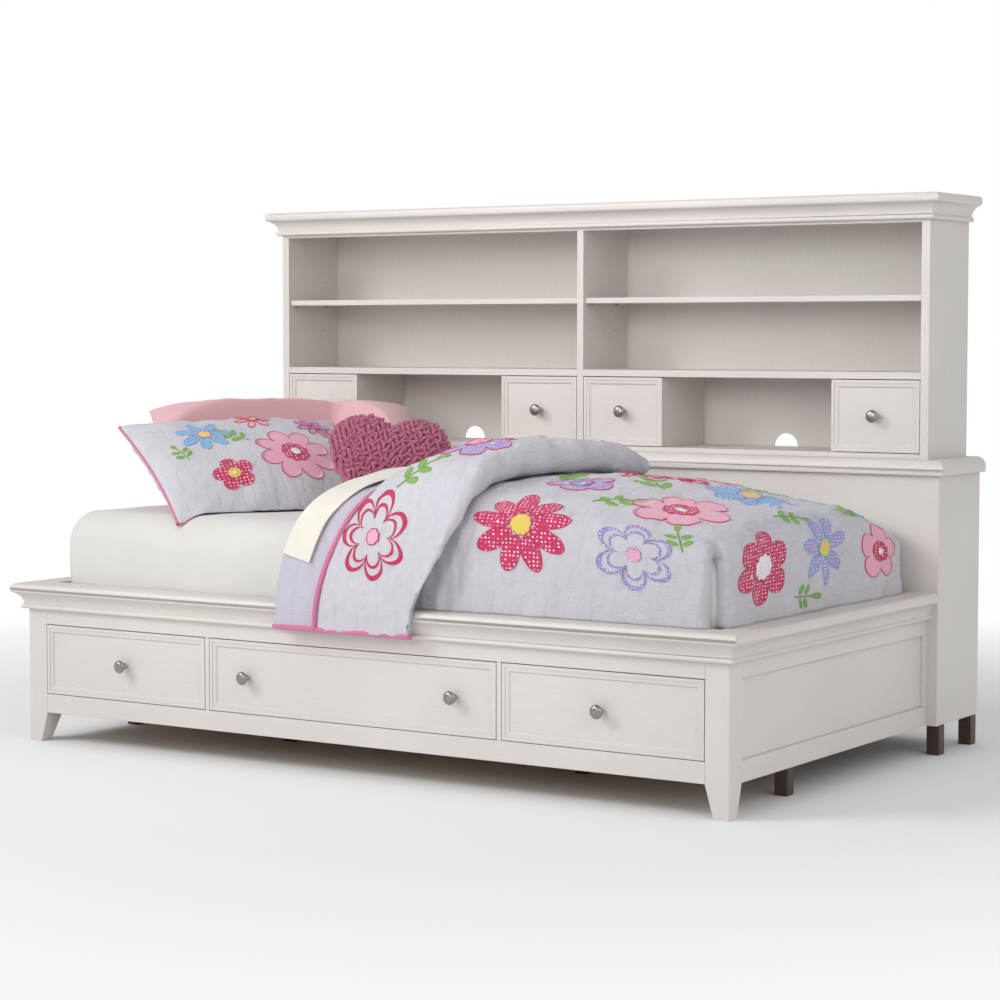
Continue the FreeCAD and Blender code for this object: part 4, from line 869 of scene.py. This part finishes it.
class BED_OT_mattress(bpy.types.Operator):
    """Mattress in its fitted sheet"""

    bl_idname = "bed.mattress"
    bl_label = "Mattress and fitted sheet"

    def execute(self, context):
        low, high = (-0.974, -0.573, 0.346), (0.972, 0.4125, 0.596)
        sides = ("top", "front", "back", "left", "right")
        piece = wrapped_box("mattress_in_sheet", low, high, 0.080, 0.009, sides, "fitted_sheet")
        points, out = vertices_of(piece), normals_of(piece)
        side = 1 - smooth(0.50, 0.585, points[:, 2])
        stretch = points * np.array((1, 1, 0.35))
        pull = drift(stretch, 9, 1) * 0.0045 + drift(stretch * np.array((2.2, 2.2, 1)), 11, 2) * 0.002
        bent = points + drift(points, 5, 4)[:, None] * 0.05
        top = drift(points, 6, 3) * 0.0035 - np.abs(drift(bent, 16, 5)) * 0.0012
        belly = 0.010 * np.sin(np.clip((points[:, 2] - 0.346) / 0.25, 0, 1) * math.pi) - 0.008
        points += out * (side * (pull + belly) + (1 - side) * top)[:, None]
        put_vertices(piece, points)
        only(piece)
        bpy.ops.object.mode_set(mode="EDIT")
        bpy.ops.mesh.select_all(action="DESELECT")
        bpy.ops.mesh.select_non_manifold()
        bpy.ops.mesh.edge_face_add()
        bpy.ops.object.mode_set(mode="OBJECT")
        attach(piece, "bed")
        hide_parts("mattress")
        return {"FINISHED"}


# Height of the quilt's top along the bed's depth, from the front of the legs, in millimetres.
QUILT_CREST = (
    (26, 676), (100, 684), (200, 700), (300, 710), (420, 716),
    (530, 715), (650, 706), (800, 686), (965, 640), (1040, 610),
)
QUILT_LOW, QUILT_HIGH = (-0.086, -0.5995, 0.4106), (0.989, 0.4130, 0.7150)
QUILT_EDGE = 0.085  # rounding of its edges
QUILT_BACK = 0.4138  # the front of the cabinet behind it, less a little room


def crest(y):
    ys, zs = zip(*QUILT_CREST)
    return np.interp((y - FRONT) * 1000, ys, zs) / 1000


class BED_OT_quilt(bpy.types.Operator):
    """The quilt over the mattress, with its front and end hanging to the ledge"""

    bl_idname = "bed.quilt"
    bl_label = "Quilt"

    def execute(self, context):
        sides = ("top", "front", "back", "right")
        piece = wrapped_box("quilt_body", QUILT_LOW, QUILT_HIGH, QUILT_EDGE, 0.0072, sides, "quilted_white")
        points = vertices_of(piece)
        x, y, z = points.T
        low, high = QUILT_LOW, QUILT_HIGH
        fall = smooth(0.45, 1.0, (x - low[0]) / (high[0] - low[0])) ** 1.6 * 0.062
        rise = (crest(y) - fall - low[2]) / (high[2] - low[2])
        points[:, 2] = low[2] + (z - low[2]) * rise
        put_vertices(piece, points)
        out = normals_of(piece)
        x, y, z = points.T
        hang = 1 - smooth(0.56, 0.66, z)
        loose = smooth(0.0, 0.2, 0.66 - z)
        run = x - y * 1.0 + 0.12 * drift(points, 5, 11)
        folds = np.stack([run * 9, z * 1.6, run * 0], axis=1)
        big = drift(folds, 1.0, 12) * 0.015 + drift(folds * 2.3, 1.0, 13) * 0.008
        top = drift(points, 4.5, 14) * 0.008 + drift(points, 11, 15) * 0.0055
        creases = -np.abs(drift(points * np.array((1, 0.55, 0.5)), 17, 16)) * 0.0080
        creases -= np.abs(drift(points * np.array((1, 0.5, 0.4)), 36, 18)) * 0.0045
        small = drift(points * np.array((1, 1, 0.6)), 42, 17) * 0.0022
        away = hang * loose * big + (1 - hang) * top + creases + small
        corner_x = np.maximum(x - (high[0] - QUILT_EDGE), 0)
        corner_y = np.maximum(low[1] + QUILT_EDGE - y, 0)
        angle = np.arctan2(corner_y, corner_x)
        inside = smooth(0.05, 0.07, np.hypot(corner_x, corner_y)) * ((corner_x > 0) & (corner_y > 0))
        groove = np.exp(-(((angle - 0.72) / 0.15) ** 2)) * smooth(0.0, 0.09, 0.635 - z)
        lips = np.exp(-(((angle - 1.2) / 0.2) ** 2)) * smooth(0.0, 0.09, 0.635 - z)
        away += inside * (lips * 0.007 - groove * 0.040)
        away *= smooth(low[0] - 0.001, low[0] + 0.03, x) * 0.8 + 0.2
        points += out * away[:, None]
        points[:, 2] = np.maximum(points[:, 2], low[2])
        points[:, 1] = np.minimum(points[:, 1], QUILT_BACK)
        put_vertices(piece, points)
        patches = Patches(piece)
        self.sew(patches)
        apply_modifier(piece, "SOLIDIFY", thickness=0.007, offset=-1, use_even_offset=False)
        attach(piece, "bed")
        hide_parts("quilt")
        flowers = patches.piece("quilt_flowers")
        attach(flowers, "bed")
        return {"FINISHED"}

    def sew(self, patches):
        """Flowers and sprigs in no order, some over the front edge and some over the end."""
        patches.daisy(0.47, -0.66, 0.135, 0.2, "pink_dots", "pink_thread", "sun", 9)
        patches.ring(0.77, -0.70, 0.105, 0.5, "lilac_dots", 6)
        patches.blossom(0.80, -0.44, 0.120, 1.1, "rose_gingham", "pink_thread", "pink_dots", 6)
        patches.blossom(0.49, -0.36, 0.085, 1.1, "lilac_dots", "pink_thread", "sky")
        patches.ring(0.57, -0.12, 0.115, 0.3, "pink_thread", 8)
        patches.daisy(0.81, -0.12, 0.110, 0.4, "sky", "lilac_dots", "sun", 8)
        patches.blossom(1.13, -0.40, 0.115, 0.9, "pink_dots", "pink_thread", "white_patch", 6)
        patches.daisy(1.11, -0.09, 0.115, 0.1, "lilac_dots", "sky", "sun", 7)
        patches.blossom(1.12, 0.21, 0.105, 0.7, "rose_gingham", "pink_thread", "pink_dots")
        patches.daisy(0.60, 0.17, 0.095, 0.6, "rose_gingham", "pink_thread", "pink_dots", 9)
        patches.ring(0.87, 0.19, 0.085, 0.2, "sky", 6)
        for s, t, size, turn in (
            (0.62, -0.52, 0.11, 0.9), (0.67, -0.29, 0.12, 2.5), (0.96, -0.27, 0.12, 1.2),
            (0.89, -0.66, 0.10, 1.9), (0.36, -0.23, 0.11, -0.7), (0.70, 0.05, 0.11, 1.0),
            (1.24, -0.24, 0.10, 1.5), (0.98, 0.06, 0.10, 2.0), (0.42, 0.28, 0.10, 0.2),
        ):
            patches.sprig(s, t, size, turn)


# The fold's path: left and right ends, how far it lies back from the legs' front, its height, its
# lean and its thickness, in millimetres and degrees.
FOLD_PATH = (
    (-190, 215, -36, 352, 0, 14),
    (-188, 228, -36, 422, 0, 16),
    (-183, 265, -6, 515, 8, 26),
    (-155, 321, 22, 608, 22, 42),
    (-115, 337, 54, 657, 50, 60),
    (-90, 338, 126, 683, 74, 84),
    (-80, 345, 256, 703, 86, 96),
    (-88, 380, 456, 709, 90, 92),
    (-95, 405, 630, 701, 92, 86),
    (-90, 380, 780, 683, 96, 62),
)


def fold_path(count):
    """Places along the fold, evenly spaced and smoothed, in metres."""
    places = np.array(FOLD_PATH, float)
    way = np.concatenate([[0], np.cumsum(np.hypot(*np.diff(places[:, 2:4], axis=0).T))])
    at = np.linspace(0, way[-1], count)
    rows = np.stack([np.interp(at, way, column) for column in places.T], axis=1)
    for _ in range(count // 6):
        rows[1:-1] = (rows[:-2] + 2 * rows[1:-1] + rows[2:]) / 4
    rows[:, [0, 1, 2, 3, 5]] /= 1000
    rows[:, 2] += FRONT
    return at / 1000, rows


def band(name, section, count, material, closed=True):
    """A band along the fold's path; section gives points (across, out) from a station's ends and
    thickness, with its flat place across."""
    ways, rows = fold_path(count)
    points, flat = [], []
    for way, (left, right, y, z, lean, thick) in zip(ways, rows):
        lean = math.radians(lean)
        for across, out, spread in section(left, right, thick, way):
            points.append((across, y - math.cos(lean) * out, z + math.sin(lean) * out))
            flat.append((spread, way))
    columns = len(points) // count
    faces = grid_faces(count, columns, round_columns=closed)
    if closed:
        last = (count - 1) * columns
        faces += [tuple(range(columns)), tuple(last + k for k in range(columns - 1, -1, -1))]
    piece = new_piece(name, points, faces, flat, material)
    merge(piece, 0.00001)
    return piece


BINDING = 0.31  # where the turned edge lies, as a share of the fold's width


class BED_OT_quilt_fold(bpy.types.Operator):
    """The quilt's turned-back layers: striped lining, then a puffed roll with a bound edge"""

    bl_idname = "bed.quilt_fold"
    bl_label = "Folded quilt"

    def roll_section(self, left, right, thick, way):
        start = left + (right - left) * BINDING
        rest = min(0.010, thick * 0.45)  # the lining that its edge lies on
        ball = max((thick - rest) / 2, 0.004)
        made, run = [], start
        ends = 60
        for k in range(ends + 1):
            share = k / ends
            across = start + (right - ball - start) * share
            rise = math.sin(min(share / 0.62, 1) * math.pi / 2) ** 0.75
            out = rest + 0.006 * min(1, share * 12) + (thick - rest - 0.006) * rise
            made.append((across, out, across))
        for k in range(1, 12):
            turn = math.pi / 2 - math.pi * k / 12
            across, out = right - ball + ball * math.cos(turn), thick - ball + ball * math.sin(turn)
            made.append((across, out, right - ball + ball * (math.pi / 2 - turn)))
        base = made[-1][1] * 0.5
        for k in range(1, 17):
            share = k / 16
            across = right - ball + (start - right + ball) * share
            made.append((across, base + (rest - base) * share, right + ball))
        return made

    def lining_section(self, left, right, thick, way):
        end = left + (right - left) * BINDING + 0.03
        high = min(0.012, thick * 0.5)
        made = []
        for k in range(9):
            turn = -math.pi / 2 - math.pi * k / 8
            across = left + high / 2 + high * 0.5 * math.cos(turn)
            made.append((across, high / 2 + high * 0.5 * math.sin(turn), left))
        for k in range(1, 17):
            across = left + high / 2 + (end - left - high / 2) * k / 16
            made.append((across, high * (1 - 0.25 * k / 16), across))
        for k in range(1, 9):
            made.append((end + (left + high / 2 - end) * k / 9, 0.0, end))
        return made

    def rumple(self, piece, amount, seed):
        points, out = vertices_of(piece), normals_of(piece)
        hanging = 1 - smooth(0.50, 0.66, points[:, 2])
        run = np.stack([points[:, 0] * 8 + 0.1 * points[:, 2], points[:, 2] * 1.4, points[:, 1] * 2], axis=1)
        soft = drift(points, 6, seed) * 0.008 + drift(points, 13, seed + 1) * 0.0065
        creases = -np.abs(drift(points * np.array((1, 0.6, 0.6)), 19, seed + 2)) * 0.0070
        creases -= np.abs(drift(points * np.array((0.6, 0.6, 1)), 34, seed + 5)) * 0.0045
        small = drift(points, 45, seed + 3) * 0.0018
        away = (1 - hanging) * soft + creases + small + hanging * drift(run, 1.0, seed + 4) * 0.010
        points += out * (away * amount)[:, None]
        put_vertices(piece, points)

    def execute(self, context):
        roll = band("quilt_roll", self.roll_section, 190, "quilted_white")
        self.rumple(roll, 1.0, 21)
        lining = band("quilt_lining", self.lining_section, 190, "pinstripe")
        self.rumple(lining, 0.6, 31)
        patches = Patches(roll)
        for s, t, size, turn, kind in (
            (0.09, 0.225, 0.100, 0.4, "ring"), (0.22, 0.52, 0.095, 0.9, "blossom"),
            (0.05, 0.45, 0.062, 0.1, "sky"), (0.17, 0.81, 0.110, 0.2, "daisy"), (0.31, 0.90, 0.065, 0.5, "sky"),
        ):
            if kind == "blossom":
                patches.blossom(s, t, size, turn, "lilac_dots", "pink_thread", "rose_gingham", 6)
            elif kind == "ring":
                patches.ring(s, t, size, turn, "pink_thread", 7)
            elif kind == "daisy":
                patches.daisy(s, t, size, turn, "rose_gingham", "pink_thread", "pink_dots")
            else:
                patches.blossom(s, t, size, turn, "sky", "lilac_dots", "sun", 5)
        for s, t, size, turn in ((0.13, 0.33, 0.10, 0.9), (0.22, 0.66, 0.09, 2.2), (0.28, 0.93, 0.08, 0.3)):
            patches.sprig(s, t, size, turn)
        flowers = patches.piece("fold_flowers")
        ways, rows = fold_path(190)
        edge, hem = [], []
        for left, right, y, z, lean, thick in rows:
            lean, rest = math.radians(lean), min(0.010, thick * 0.45) + 0.003
            across = left + (right - left) * BINDING
            edge.append((across, y - math.cos(lean) * rest, z + math.sin(lean) * rest))
        left, right, y, z, lean, thick = rows[0]
        for k in range(40):
            across = left + (right - left) * k / 39
            deep = 0.25 if across < left + (right - left) * BINDING else 0.5
            hem.append((across, y - thick * deep, z + 0.001))
        bound = tube("quilt_binding", edge, 0.0062, 12, "binding")
        bottom = tube("hem_binding", hem, 0.0068, 12, "binding")
        for piece in (roll, lining, flowers, bound, bottom):
            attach(piece, "bed")
        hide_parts("quilt_fold")
        return {"FINISHED"}


class BED_OT_top_sheet(bpy.types.Operator):
    """The top sheet's turned edge over the lining"""

    bl_idname = "bed.top_sheet"
    bl_label = "Top sheet"

    def execute(self, context):
        def section(left, right, thick, way):
            high = min(0.012, thick * 0.5) + 0.0022
            made = []
            for k in range(8):
                turn = -math.pi / 2 - math.pi * k / 8
                across = left + high / 2 - 0.002 + high * 0.55 * math.cos(turn)
                made.append((across, high / 2 + high * 0.55 * math.sin(turn), left - 0.02))
            for k in range(15):
                across = left + high / 2 + 0.082 * k / 14
                made.append((across, high + 0.0012 * math.sin(way * 40 + k * 0.4), across))
            return made

        piece = band("top_sheet_turn", section, 190, "top_sheet_cotton", closed=False)
        only(piece)
        bpy.ops.object.mode_set(mode="EDIT")
        bpy.ops.mesh.select_all(action="SELECT")
        bpy.ops.mesh.bisect(plane_co=(-0.15, -0.62, 0.521), plane_no=(0.24, 0, 1), clear_inner=True)
        bpy.ops.object.mode_set(mode="OBJECT")
        points, out = vertices_of(piece), normals_of(piece)
        points += out * (np.abs(drift(points, 14, 41)) * 0.003)[:, None]
        put_vertices(piece, points)
        apply_modifier(piece, "SOLIDIFY", thickness=0.0016, offset=0)
        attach(piece, "bed")
        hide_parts("top_sheet")
        return {"FINISHED"}


# Where the mattress's top is flat, for what lies on it.
REST_LEFT, REST_FRONT, REST_TOP = -0.885, -0.485, 0.600


def floor_under(points):
    """Height of the mattress's top, which falls away past its rounded edges."""
    x, y = points[:, 0], points[:, 1]
    beyond = np.maximum.reduce([REST_LEFT - x, REST_FRONT - y, np.zeros(len(x))])
    return REST_TOP - 0.082 * (1 - np.sqrt(np.clip(1 - (beyond / 0.085) ** 2, 0, 1)))


def cushion_mesh(name, size, fullness, draw, steps, material, seed):
    """Two panels joined round their edges, crowned, with sides drawn in between the corners."""
    across, down = steps
    half_x, half_y, half_z = (value / 2 for value in size)
    points, flat, faces = [], [], []
    for side in (1, -1):
        start = len(points)
        for i in range(down + 1):
            for j in range(across + 1):
                u, v = -math.cos(math.pi * j / across) , -math.cos(math.pi * i / down)
                u, v = 0.55 * u + 0.45 * (2 * j / across - 1), 0.55 * v + 0.45 * (2 * i / down - 1)
                x = half_x * u * (1 - draw * (1 - v * v))
                y = half_y * v * (1 - draw * (1 - u * u) * half_x / half_y)
                swell = ((1 - u * u) * (1 - v * v)) ** fullness
                ease = (1 - abs(u) ** 6) * (1 - abs(v) ** 6)
                points.append((x, y, side * half_z * swell * (0.86 + 0.14 * ease)))
                flat.append((half_x * u, half_y * v + (0 if side > 0 else 3)))
        for face in grid_faces(down + 1, across + 1):
            faces.append(tuple(start + corner for corner in (face if side < 0 else face[::-1])))
    points = np.array(points)
    rise = np.abs(points[:, 2]) / half_z
    rim = np.clip(1 - rise, 0, 1) * smooth(0.0, 0.12, rise)
    turn = np.arctan2(points[:, 1] * half_x / half_y, points[:, 0])
    spokes = np.stack([np.cos(turn) * 5.5, np.sin(turn) * 5.5, points[:, 2] * 2], axis=1)
    pucker = drift(spokes, 2.6, seed) * 0.010 * rim
    soft = drift(points, 9, seed + 1) * 0.007 * smooth(0.1, 0.6, rise)
    soft += drift(points, 26, seed + 2) * 0.0016 * smooth(0.02, 0.3, rise)
    points[:, 2] += np.sign(points[:, 2]) * (pucker + soft)
    piece = new_piece(name, points, faces, flat, material)
    merge(piece, 0.0004)
    return piece


def lean(piece, place, turn, tilt, roll=0.0):
    """Roll a cushion in its own plane, tilt it back, turn it and set it on the bed."""
    points = vertices_of(piece)
    turns = Matrix.Rotation(math.radians(turn), 3, "Z") @ Matrix.Rotation(math.radians(tilt), 3, "X")
    turns = turns @ Matrix.Rotation(math.radians(roll), 3, "Z")
    points = points @ np.array(turns).T + np.array(place)
    put_vertices(piece, points)


def rest_on_mattress(piece):
    """Flatten what would sink into the mattress, and let it spread a little."""
    points = vertices_of(piece)
    floor = floor_under(points)
    under = np.clip(floor - points[:, 2], 0, None)
    points[:, 2] = np.where(under > 0, floor + 0.001 + 0.03 * np.minimum(under, 0.05), points[:, 2])
    put_vertices(piece, points)


def press_behind(piece, size, draw, place, turn):
    """Push a pillow back to the rear face of the cushion that leans on it."""
    turns = Matrix.Rotation(math.radians(turn[0]), 3, "Z") @ Matrix.Rotation(math.radians(turn[1]), 3, "X")
    turns = np.array(turns)
    points = (vertices_of(piece) - np.array(place)) @ turns
    u, v = np.abs(points[:, 0]) / (size[0] / 2), np.abs(points[:, 1]) / (size[1] / 2)
    inside = np.clip(1 - u**2, 0, 1) * np.clip(1 - v**2, 0, 1)
    beyond = np.hypot(np.clip(u - 1, 0, None) * size[0] / 2, np.clip(v - 1, 0, None) * size[1] / 2)
    limit = -size[2] / 2 * inside**0.40 - 0.006 + 1.6 * beyond
    points[:, 2] = np.minimum(points[:, 2], limit)
    put_vertices(piece, points @ turns.T + np.array(place))


def rim_path(size, draw, count):
    """The edge line of a flat cushion, once round."""
    half_x, half_y = size[0] / 2, size[1] / 2
    made = []
    for k in range(4 * count):
        side, share = divmod(k, count)
        w = 2 * share / count - 1
        u, v = ((w, -1), (1, w), (-w, 1), (-1, -w))[side]
        x = half_x * u * (1 - draw * (1 - v * v))
        y = half_y * v * (1 - draw * (1 - u * u) * half_x / half_y)
        made.append((x, y, 0))
    return made + made[:1]


SHAM_PLACE, SHAM_TURN = (-0.615, -0.1878, 0.690), (62, 29)
PINK_PLACE, PINK_TURN = (-0.618, -0.0258, 0.730), (48, 27)


class BED_OT_pillows(bpy.types.Operator):
    """The quilted pillow with a corded edge, and the plain one behind it"""

    bl_idname = "bed.pillows"
    bl_label = "Pillows"

    def execute(self, context):
        size, draw = (0.62, 0.475, 0.175), 0.055
        sham = cushion_mesh("quilted_pillow", size, 0.40, draw, (84, 66), "quilted_white", 51)
        cord = tube("pillow_cord", rim_path(size, draw, 40), 0.0042, 10, "binding", ends=False)
        for piece in (sham, cord):
            lean(piece, SHAM_PLACE, *SHAM_TURN)
            rest_on_mattress(piece)
        patches = Patches(sham)
        patches.blossom(0.075, -0.045, 0.115, 0.3, "rose_gingham", "pink_thread", "pink_dots", 8)
        patches.daisy(-0.15, 0.075, 0.078, 0.0, "sky", "lilac_dots", "sun", 7)
        patches.blossom(-0.13, -0.12, 0.060, 0.5, "pink_dots", "pink_thread", "sun", 5)
        patches.daisy(0.20, 0.12, 0.062, 0.3, "lilac_dots", "pink_thread", "pink_dots", 8)
        patches.daisy(0.02, 0.15, 0.055, 0.1, "rose_gingham", "pink_thread", "sun", 6)
        patches.sprig(-0.045, 0.02, 0.085, 2.3)
        patches.sprig(0.21, -0.15, 0.075, 0.7)
        patches.sprig(-0.23, -0.03, 0.07, 1.8)
        flowers = patches.piece("pillow_flowers")
        for piece in (sham, cord, flowers):
            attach(piece, "bed")
        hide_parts("pillow_sham")
        pink = cushion_mesh("plain_pillow", (0.73, 0.49, 0.225), 0.36, 0.045, (84, 60), "pillow_cotton", 61)
        lean(pink, PINK_PLACE, *PINK_TURN)
        press_behind(pink, size, draw, SHAM_PLACE, SHAM_TURN)
        rest_on_mattress(pink)
        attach(pink, "bed")
        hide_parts("pillow_pink")
        return {"FINISHED"}


# Half of the heart's outline from its notch to its point, as shares of half its width.
HEART_LINE = (
    (0, 0.52), (0.16, 0.72), (0.45, 0.84), (0.78, 0.74), (0.97, 0.42),
    (0.93, 0.05), (0.70, -0.36), (0.38, -0.70), (0, -0.95),
)
HEART_HALF, HEART_THICK = 0.158, 0.050


def heart_reach(turn):
    """The heart's radius at an angle from straight up, as a share of half its width."""
    line = [(math.atan2(x, y), math.hypot(x, y)) for x, y in HEART_LINE]
    turn = abs((turn + math.pi) % (2 * math.pi) - math.pi)
    return float(np.interp(turn, [a for a, _ in line], [r for _, r in line]))


class BED_OT_heart_cushion(bpy.types.Operator):
    """Heart-shaped cushion covered in a chunky ruffled knit"""

    bl_idname = "bed.heart_cushion"
    bl_label = "Heart cushion"

    def execute(self, context):
        half, thick = HEART_HALF, HEART_THICK
        rings, count = 16, 96
        points, flat, faces = [], [], []
        for side in (1, -1):
            start = len(points)
            for i in range(rings + 1):
                share = math.sin(math.pi / 2 * i / rings)
                for k in range(count):
                    turn = 2 * math.pi * k / count
                    reach = heart_reach(turn) * half * share
                    height = side * thick * math.sqrt(max(0, 1 - share**2.4))
                    points.append((reach * math.sin(turn), reach * math.cos(turn), height))
                    flat.append((reach * math.sin(turn), reach * math.cos(turn)))
            for face in grid_faces(rings + 1, count, round_columns=True):
                faces.append(tuple(start + corner for corner in (face if side > 0 else face[::-1])))
        pad = new_piece("heart_pad", points, faces, flat, "knit_yarn")
        merge(pad, 0.0003)

        # one plump loop of yarn, repeated in rows that lean left and right in turn
        loop, around = [], 6
        for i in range(5):
            along = math.sin(math.pi * (i + 0.5) / 5)
            for k in range(around):
                turn = 2 * math.pi * k / around
                across, rise = math.cos(turn) * 0.0054 * along, math.sin(turn) * 0.0070 * along
                loop.append((across, (i - 2) * 0.0062, rise))
        loop = np.array(loop)
        shape = grid_faces(5, around, round_columns=True)
        shape += [tuple(range(around)), tuple(4 * around + k for k in range(around - 1, -1, -1))]
        points, flat, faces = [], [], []
        row_step, gap = 0.0150, 0.0135
        for side in (1, -1):
            for row in range(-15, 16):
                for column in range(-17, 18):
                    x, y = (column + 0.5 * (row % 2)) * gap, row * row_step
                    wobble = noise.noise(Vector((x * 60, y * 60, side * 3.0)))
                    turn = math.atan2(x, y)
                    limit = heart_reach(turn) * half
                    share = math.hypot(x, y) / limit
                    if share > 1.0:
                        continue
                    height = thick * math.sqrt(max(0, 1 - share**2.4))
                    outward = Vector((x, y, 0)).normalized() * min(share**2.2 * 1.6, 3.0)
                    normal = (outward + Vector((0, 0, 1))).normalized()
                    lie = (0.7 if column % 2 else -0.7) + wobble * 2.2
                    way = Vector((math.sin(lie), math.cos(lie), 0))
                    way = (way - normal * way.dot(normal)).normalized()
                    way = (way + normal * (0.35 + 0.5 * wobble)).normalized()
                    axes = np.array([way.cross(normal).normalized(), way, normal])
                    size = 1.0 + 0.4 * wobble
                    placed = loop * size @ axes + np.array((x, y, height + 0.003))
                    if side < 0:
                        placed[:, 2] *= -1
                    start = len(points)
                    points.extend(placed)
                    flat.extend((x + p[0], y + p[1]) for p in loop)
                    faces.extend(tuple(start + c for c in (face if side > 0 else face[::-1])) for face in shape)
        knit = new_piece("heart_knit", points, faces, flat, "knit_yarn")
        merge(knit, 0.0000001)
        for piece in (pad, knit):
            lean(piece, (-0.200, -0.1958, 0.738), 28, 40, -8)
            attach(piece, "bed")
        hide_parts("heart_cushion")
        return {"FINISHED"}


# Stage ------------------------------------------------------------------------------------------

CAMERA_PLACE = (3.6092, -5.4671, 1.0513)
CAMERA_TURN = (86.294, 0.0, 33.259)
CAMERA_LENS = 91.98


class BED_OT_stage(bpy.types.Operator):
    """Pale floor, even studio light and the camera"""

    bl_idname = "bed.stage"
    bl_label = "Stage, light and camera"

    def execute(self, context):
        settings = context.scene.bed_stage
        bpy.ops.object.select_all(action="DESELECT")
        bpy.ops.mesh.primitive_circle_add(vertices=96, radius=30, fill_type="NGON", location=(0, 0, 0))
        floor = bpy.context.object
        floor.name = "studio_floor"
        made, tree, shader = new_material("studio_floor")
        shader.inputs["Base Color"].default_value = (*settings.floor, 1)
        shader.inputs["Roughness"].default_value = 0.9
        shader.inputs["Specular IOR Level"].default_value = 0.0
        place = add_node(tree, "ShaderNodeTexCoord").outputs["Object"]
        away = add_node(tree, "ShaderNodeVectorMath", {0: place}, operation="LENGTH").outputs["Value"]
        far = add_node(tree, "ShaderNodeMapRange", {0: away, 1: 1.5, 2: 3.4, 3: 0.0, 4: 1.0}).outputs[0]
        path = add_node(tree, "ShaderNodeLightPath").outputs
        seen = math_node(tree, "MAXIMUM", path["Is Camera Ray"], path["Is Glossy Ray"])
        glow = add_node(tree, "ShaderNodeEmission", {0: (1, 1, 1, 1), 1: 1.0}).outputs[0]
        share = math_node(tree, "MULTIPLY", far, seen)
        blend = add_node(tree, "ShaderNodeMixShader", {0: share, 1: shader.outputs[0], 2: glow})
        tree.links.new(blend.outputs[0], tree.nodes["Material Output"].inputs[0])
        floor.data.materials.append(made)

        world = context.scene.world or bpy.data.worlds.new("studio")
        context.scene.world = world
        world.use_nodes = True
        tree = world.node_tree
        tree.nodes.clear()
        path = add_node(tree, "ShaderNodeLightPath").outputs
        even = add_node(tree, "ShaderNodeBackground", {0: (0.98, 0.985, 1.0, 1), 1: settings.world})
        white = add_node(tree, "ShaderNodeBackground", {0: (1, 1, 1, 1), 1: 1.0})
        seen = math_node(tree, "MAXIMUM", path["Is Camera Ray"], path["Is Transmission Ray"])
        blend = add_node(tree, "ShaderNodeMixShader", {0: seen, 1: even.outputs[0], 2: white.outputs[0]})
        add_node(tree, "ShaderNodeOutputWorld", {0: blend.outputs[0]})

        for name, place, target, power, size in (
            ("key", (-3.6, -4.6, 4.2), (0, -0.1, 0.6), settings.key, 2.6),
            ("front", (0.3, -4.4, 2.2), (0.05, 0.66, 1.22), settings.front, 1.6),
            ("fill", (4.6, -2.2, 2.4), (0.4, 0, 0.7), settings.fill, 3.2),
        ):
            light = bpy.data.lights.new(name, "AREA")
            light.energy, light.size = power, size
            light.spread = math.radians(44 if name == "front" else 180)
            lamp = bpy.data.objects.new(name, light)
            context.scene.collection.objects.link(lamp)
            lamp.location = place
            lamp.rotation_euler = (Vector(place) - Vector(target)).to_track_quat("Z", "Y").to_euler()

        lens = bpy.data.cameras.new("camera")
        lens.lens, lens.sensor_width, lens.sensor_fit = CAMERA_LENS, 36, "HORIZONTAL"
        lens.clip_end = 100
        camera = bpy.data.objects.new("camera", lens)
        context.scene.collection.objects.link(camera)
        camera.location = CAMERA_PLACE
        camera.rotation_euler = [math.radians(turn) for turn in CAMERA_TURN]
        context.scene.camera = camera
        context.scene.view_settings.view_transform = "Standard"
        return {"FINISHED"}


class BED_PT_panel(bpy.types.Panel):
    """Lists the pieces of the bed"""

    bl_label = "Bookcase bed"
    bl_idname = "BED_PT_panel"
    bl_space_type = "VIEW_3D"
    bl_region_type = "UI"
    bl_category = "Bed"

    def draw(self, context):
        for group in (context.scene.bed_wood, context.scene.bed_linen, context.scene.bed_stage):
            for key in group.__annotations__:
                self.layout.prop(group, key)
        for operator in OPERATORS:
            self.layout.operator(operator.bl_idname)


GROUPS = [BedWoodSettings, BedLinenSettings, BedStageSettings]
OPERATORS = [
    BED_OT_stage, BED_OT_painted_boards, BED_OT_inner_wood, BED_OT_hardware, BED_OT_knobs, BED_OT_mattress,
    BED_OT_quilt, BED_OT_quilt_fold, BED_OT_top_sheet, BED_OT_pillows, BED_OT_heart_cushion,
]


def register():
    for item in GROUPS + OPERATORS + [BED_PT_panel]:
        bpy.utils.register_class(item)
    bpy.types.Scene.bed_wood = bpy.props.PointerProperty(type=BedWoodSettings)
    bpy.types.Scene.bed_linen = bpy.props.PointerProperty(type=BedLinenSettings)
    bpy.types.Scene.bed_stage = bpy.props.PointerProperty(type=BedStageSettings)


def unregister():
    del bpy.types.Scene.bed_wood, bpy.types.Scene.bed_linen, bpy.types.Scene.bed_stage
    for item in reversed(GROUPS + OPERATORS + [BED_PT_panel]):
        bpy.utils.unregister_class(item)


def main():
    register()
    make_wood_materials()
    make_cloth_materials()
    for operator in OPERATORS:
        group, name = operator.bl_idname.split(".")
        getattr(getattr(bpy.ops, group), name)()


if __name__ == "__main__":
    main()
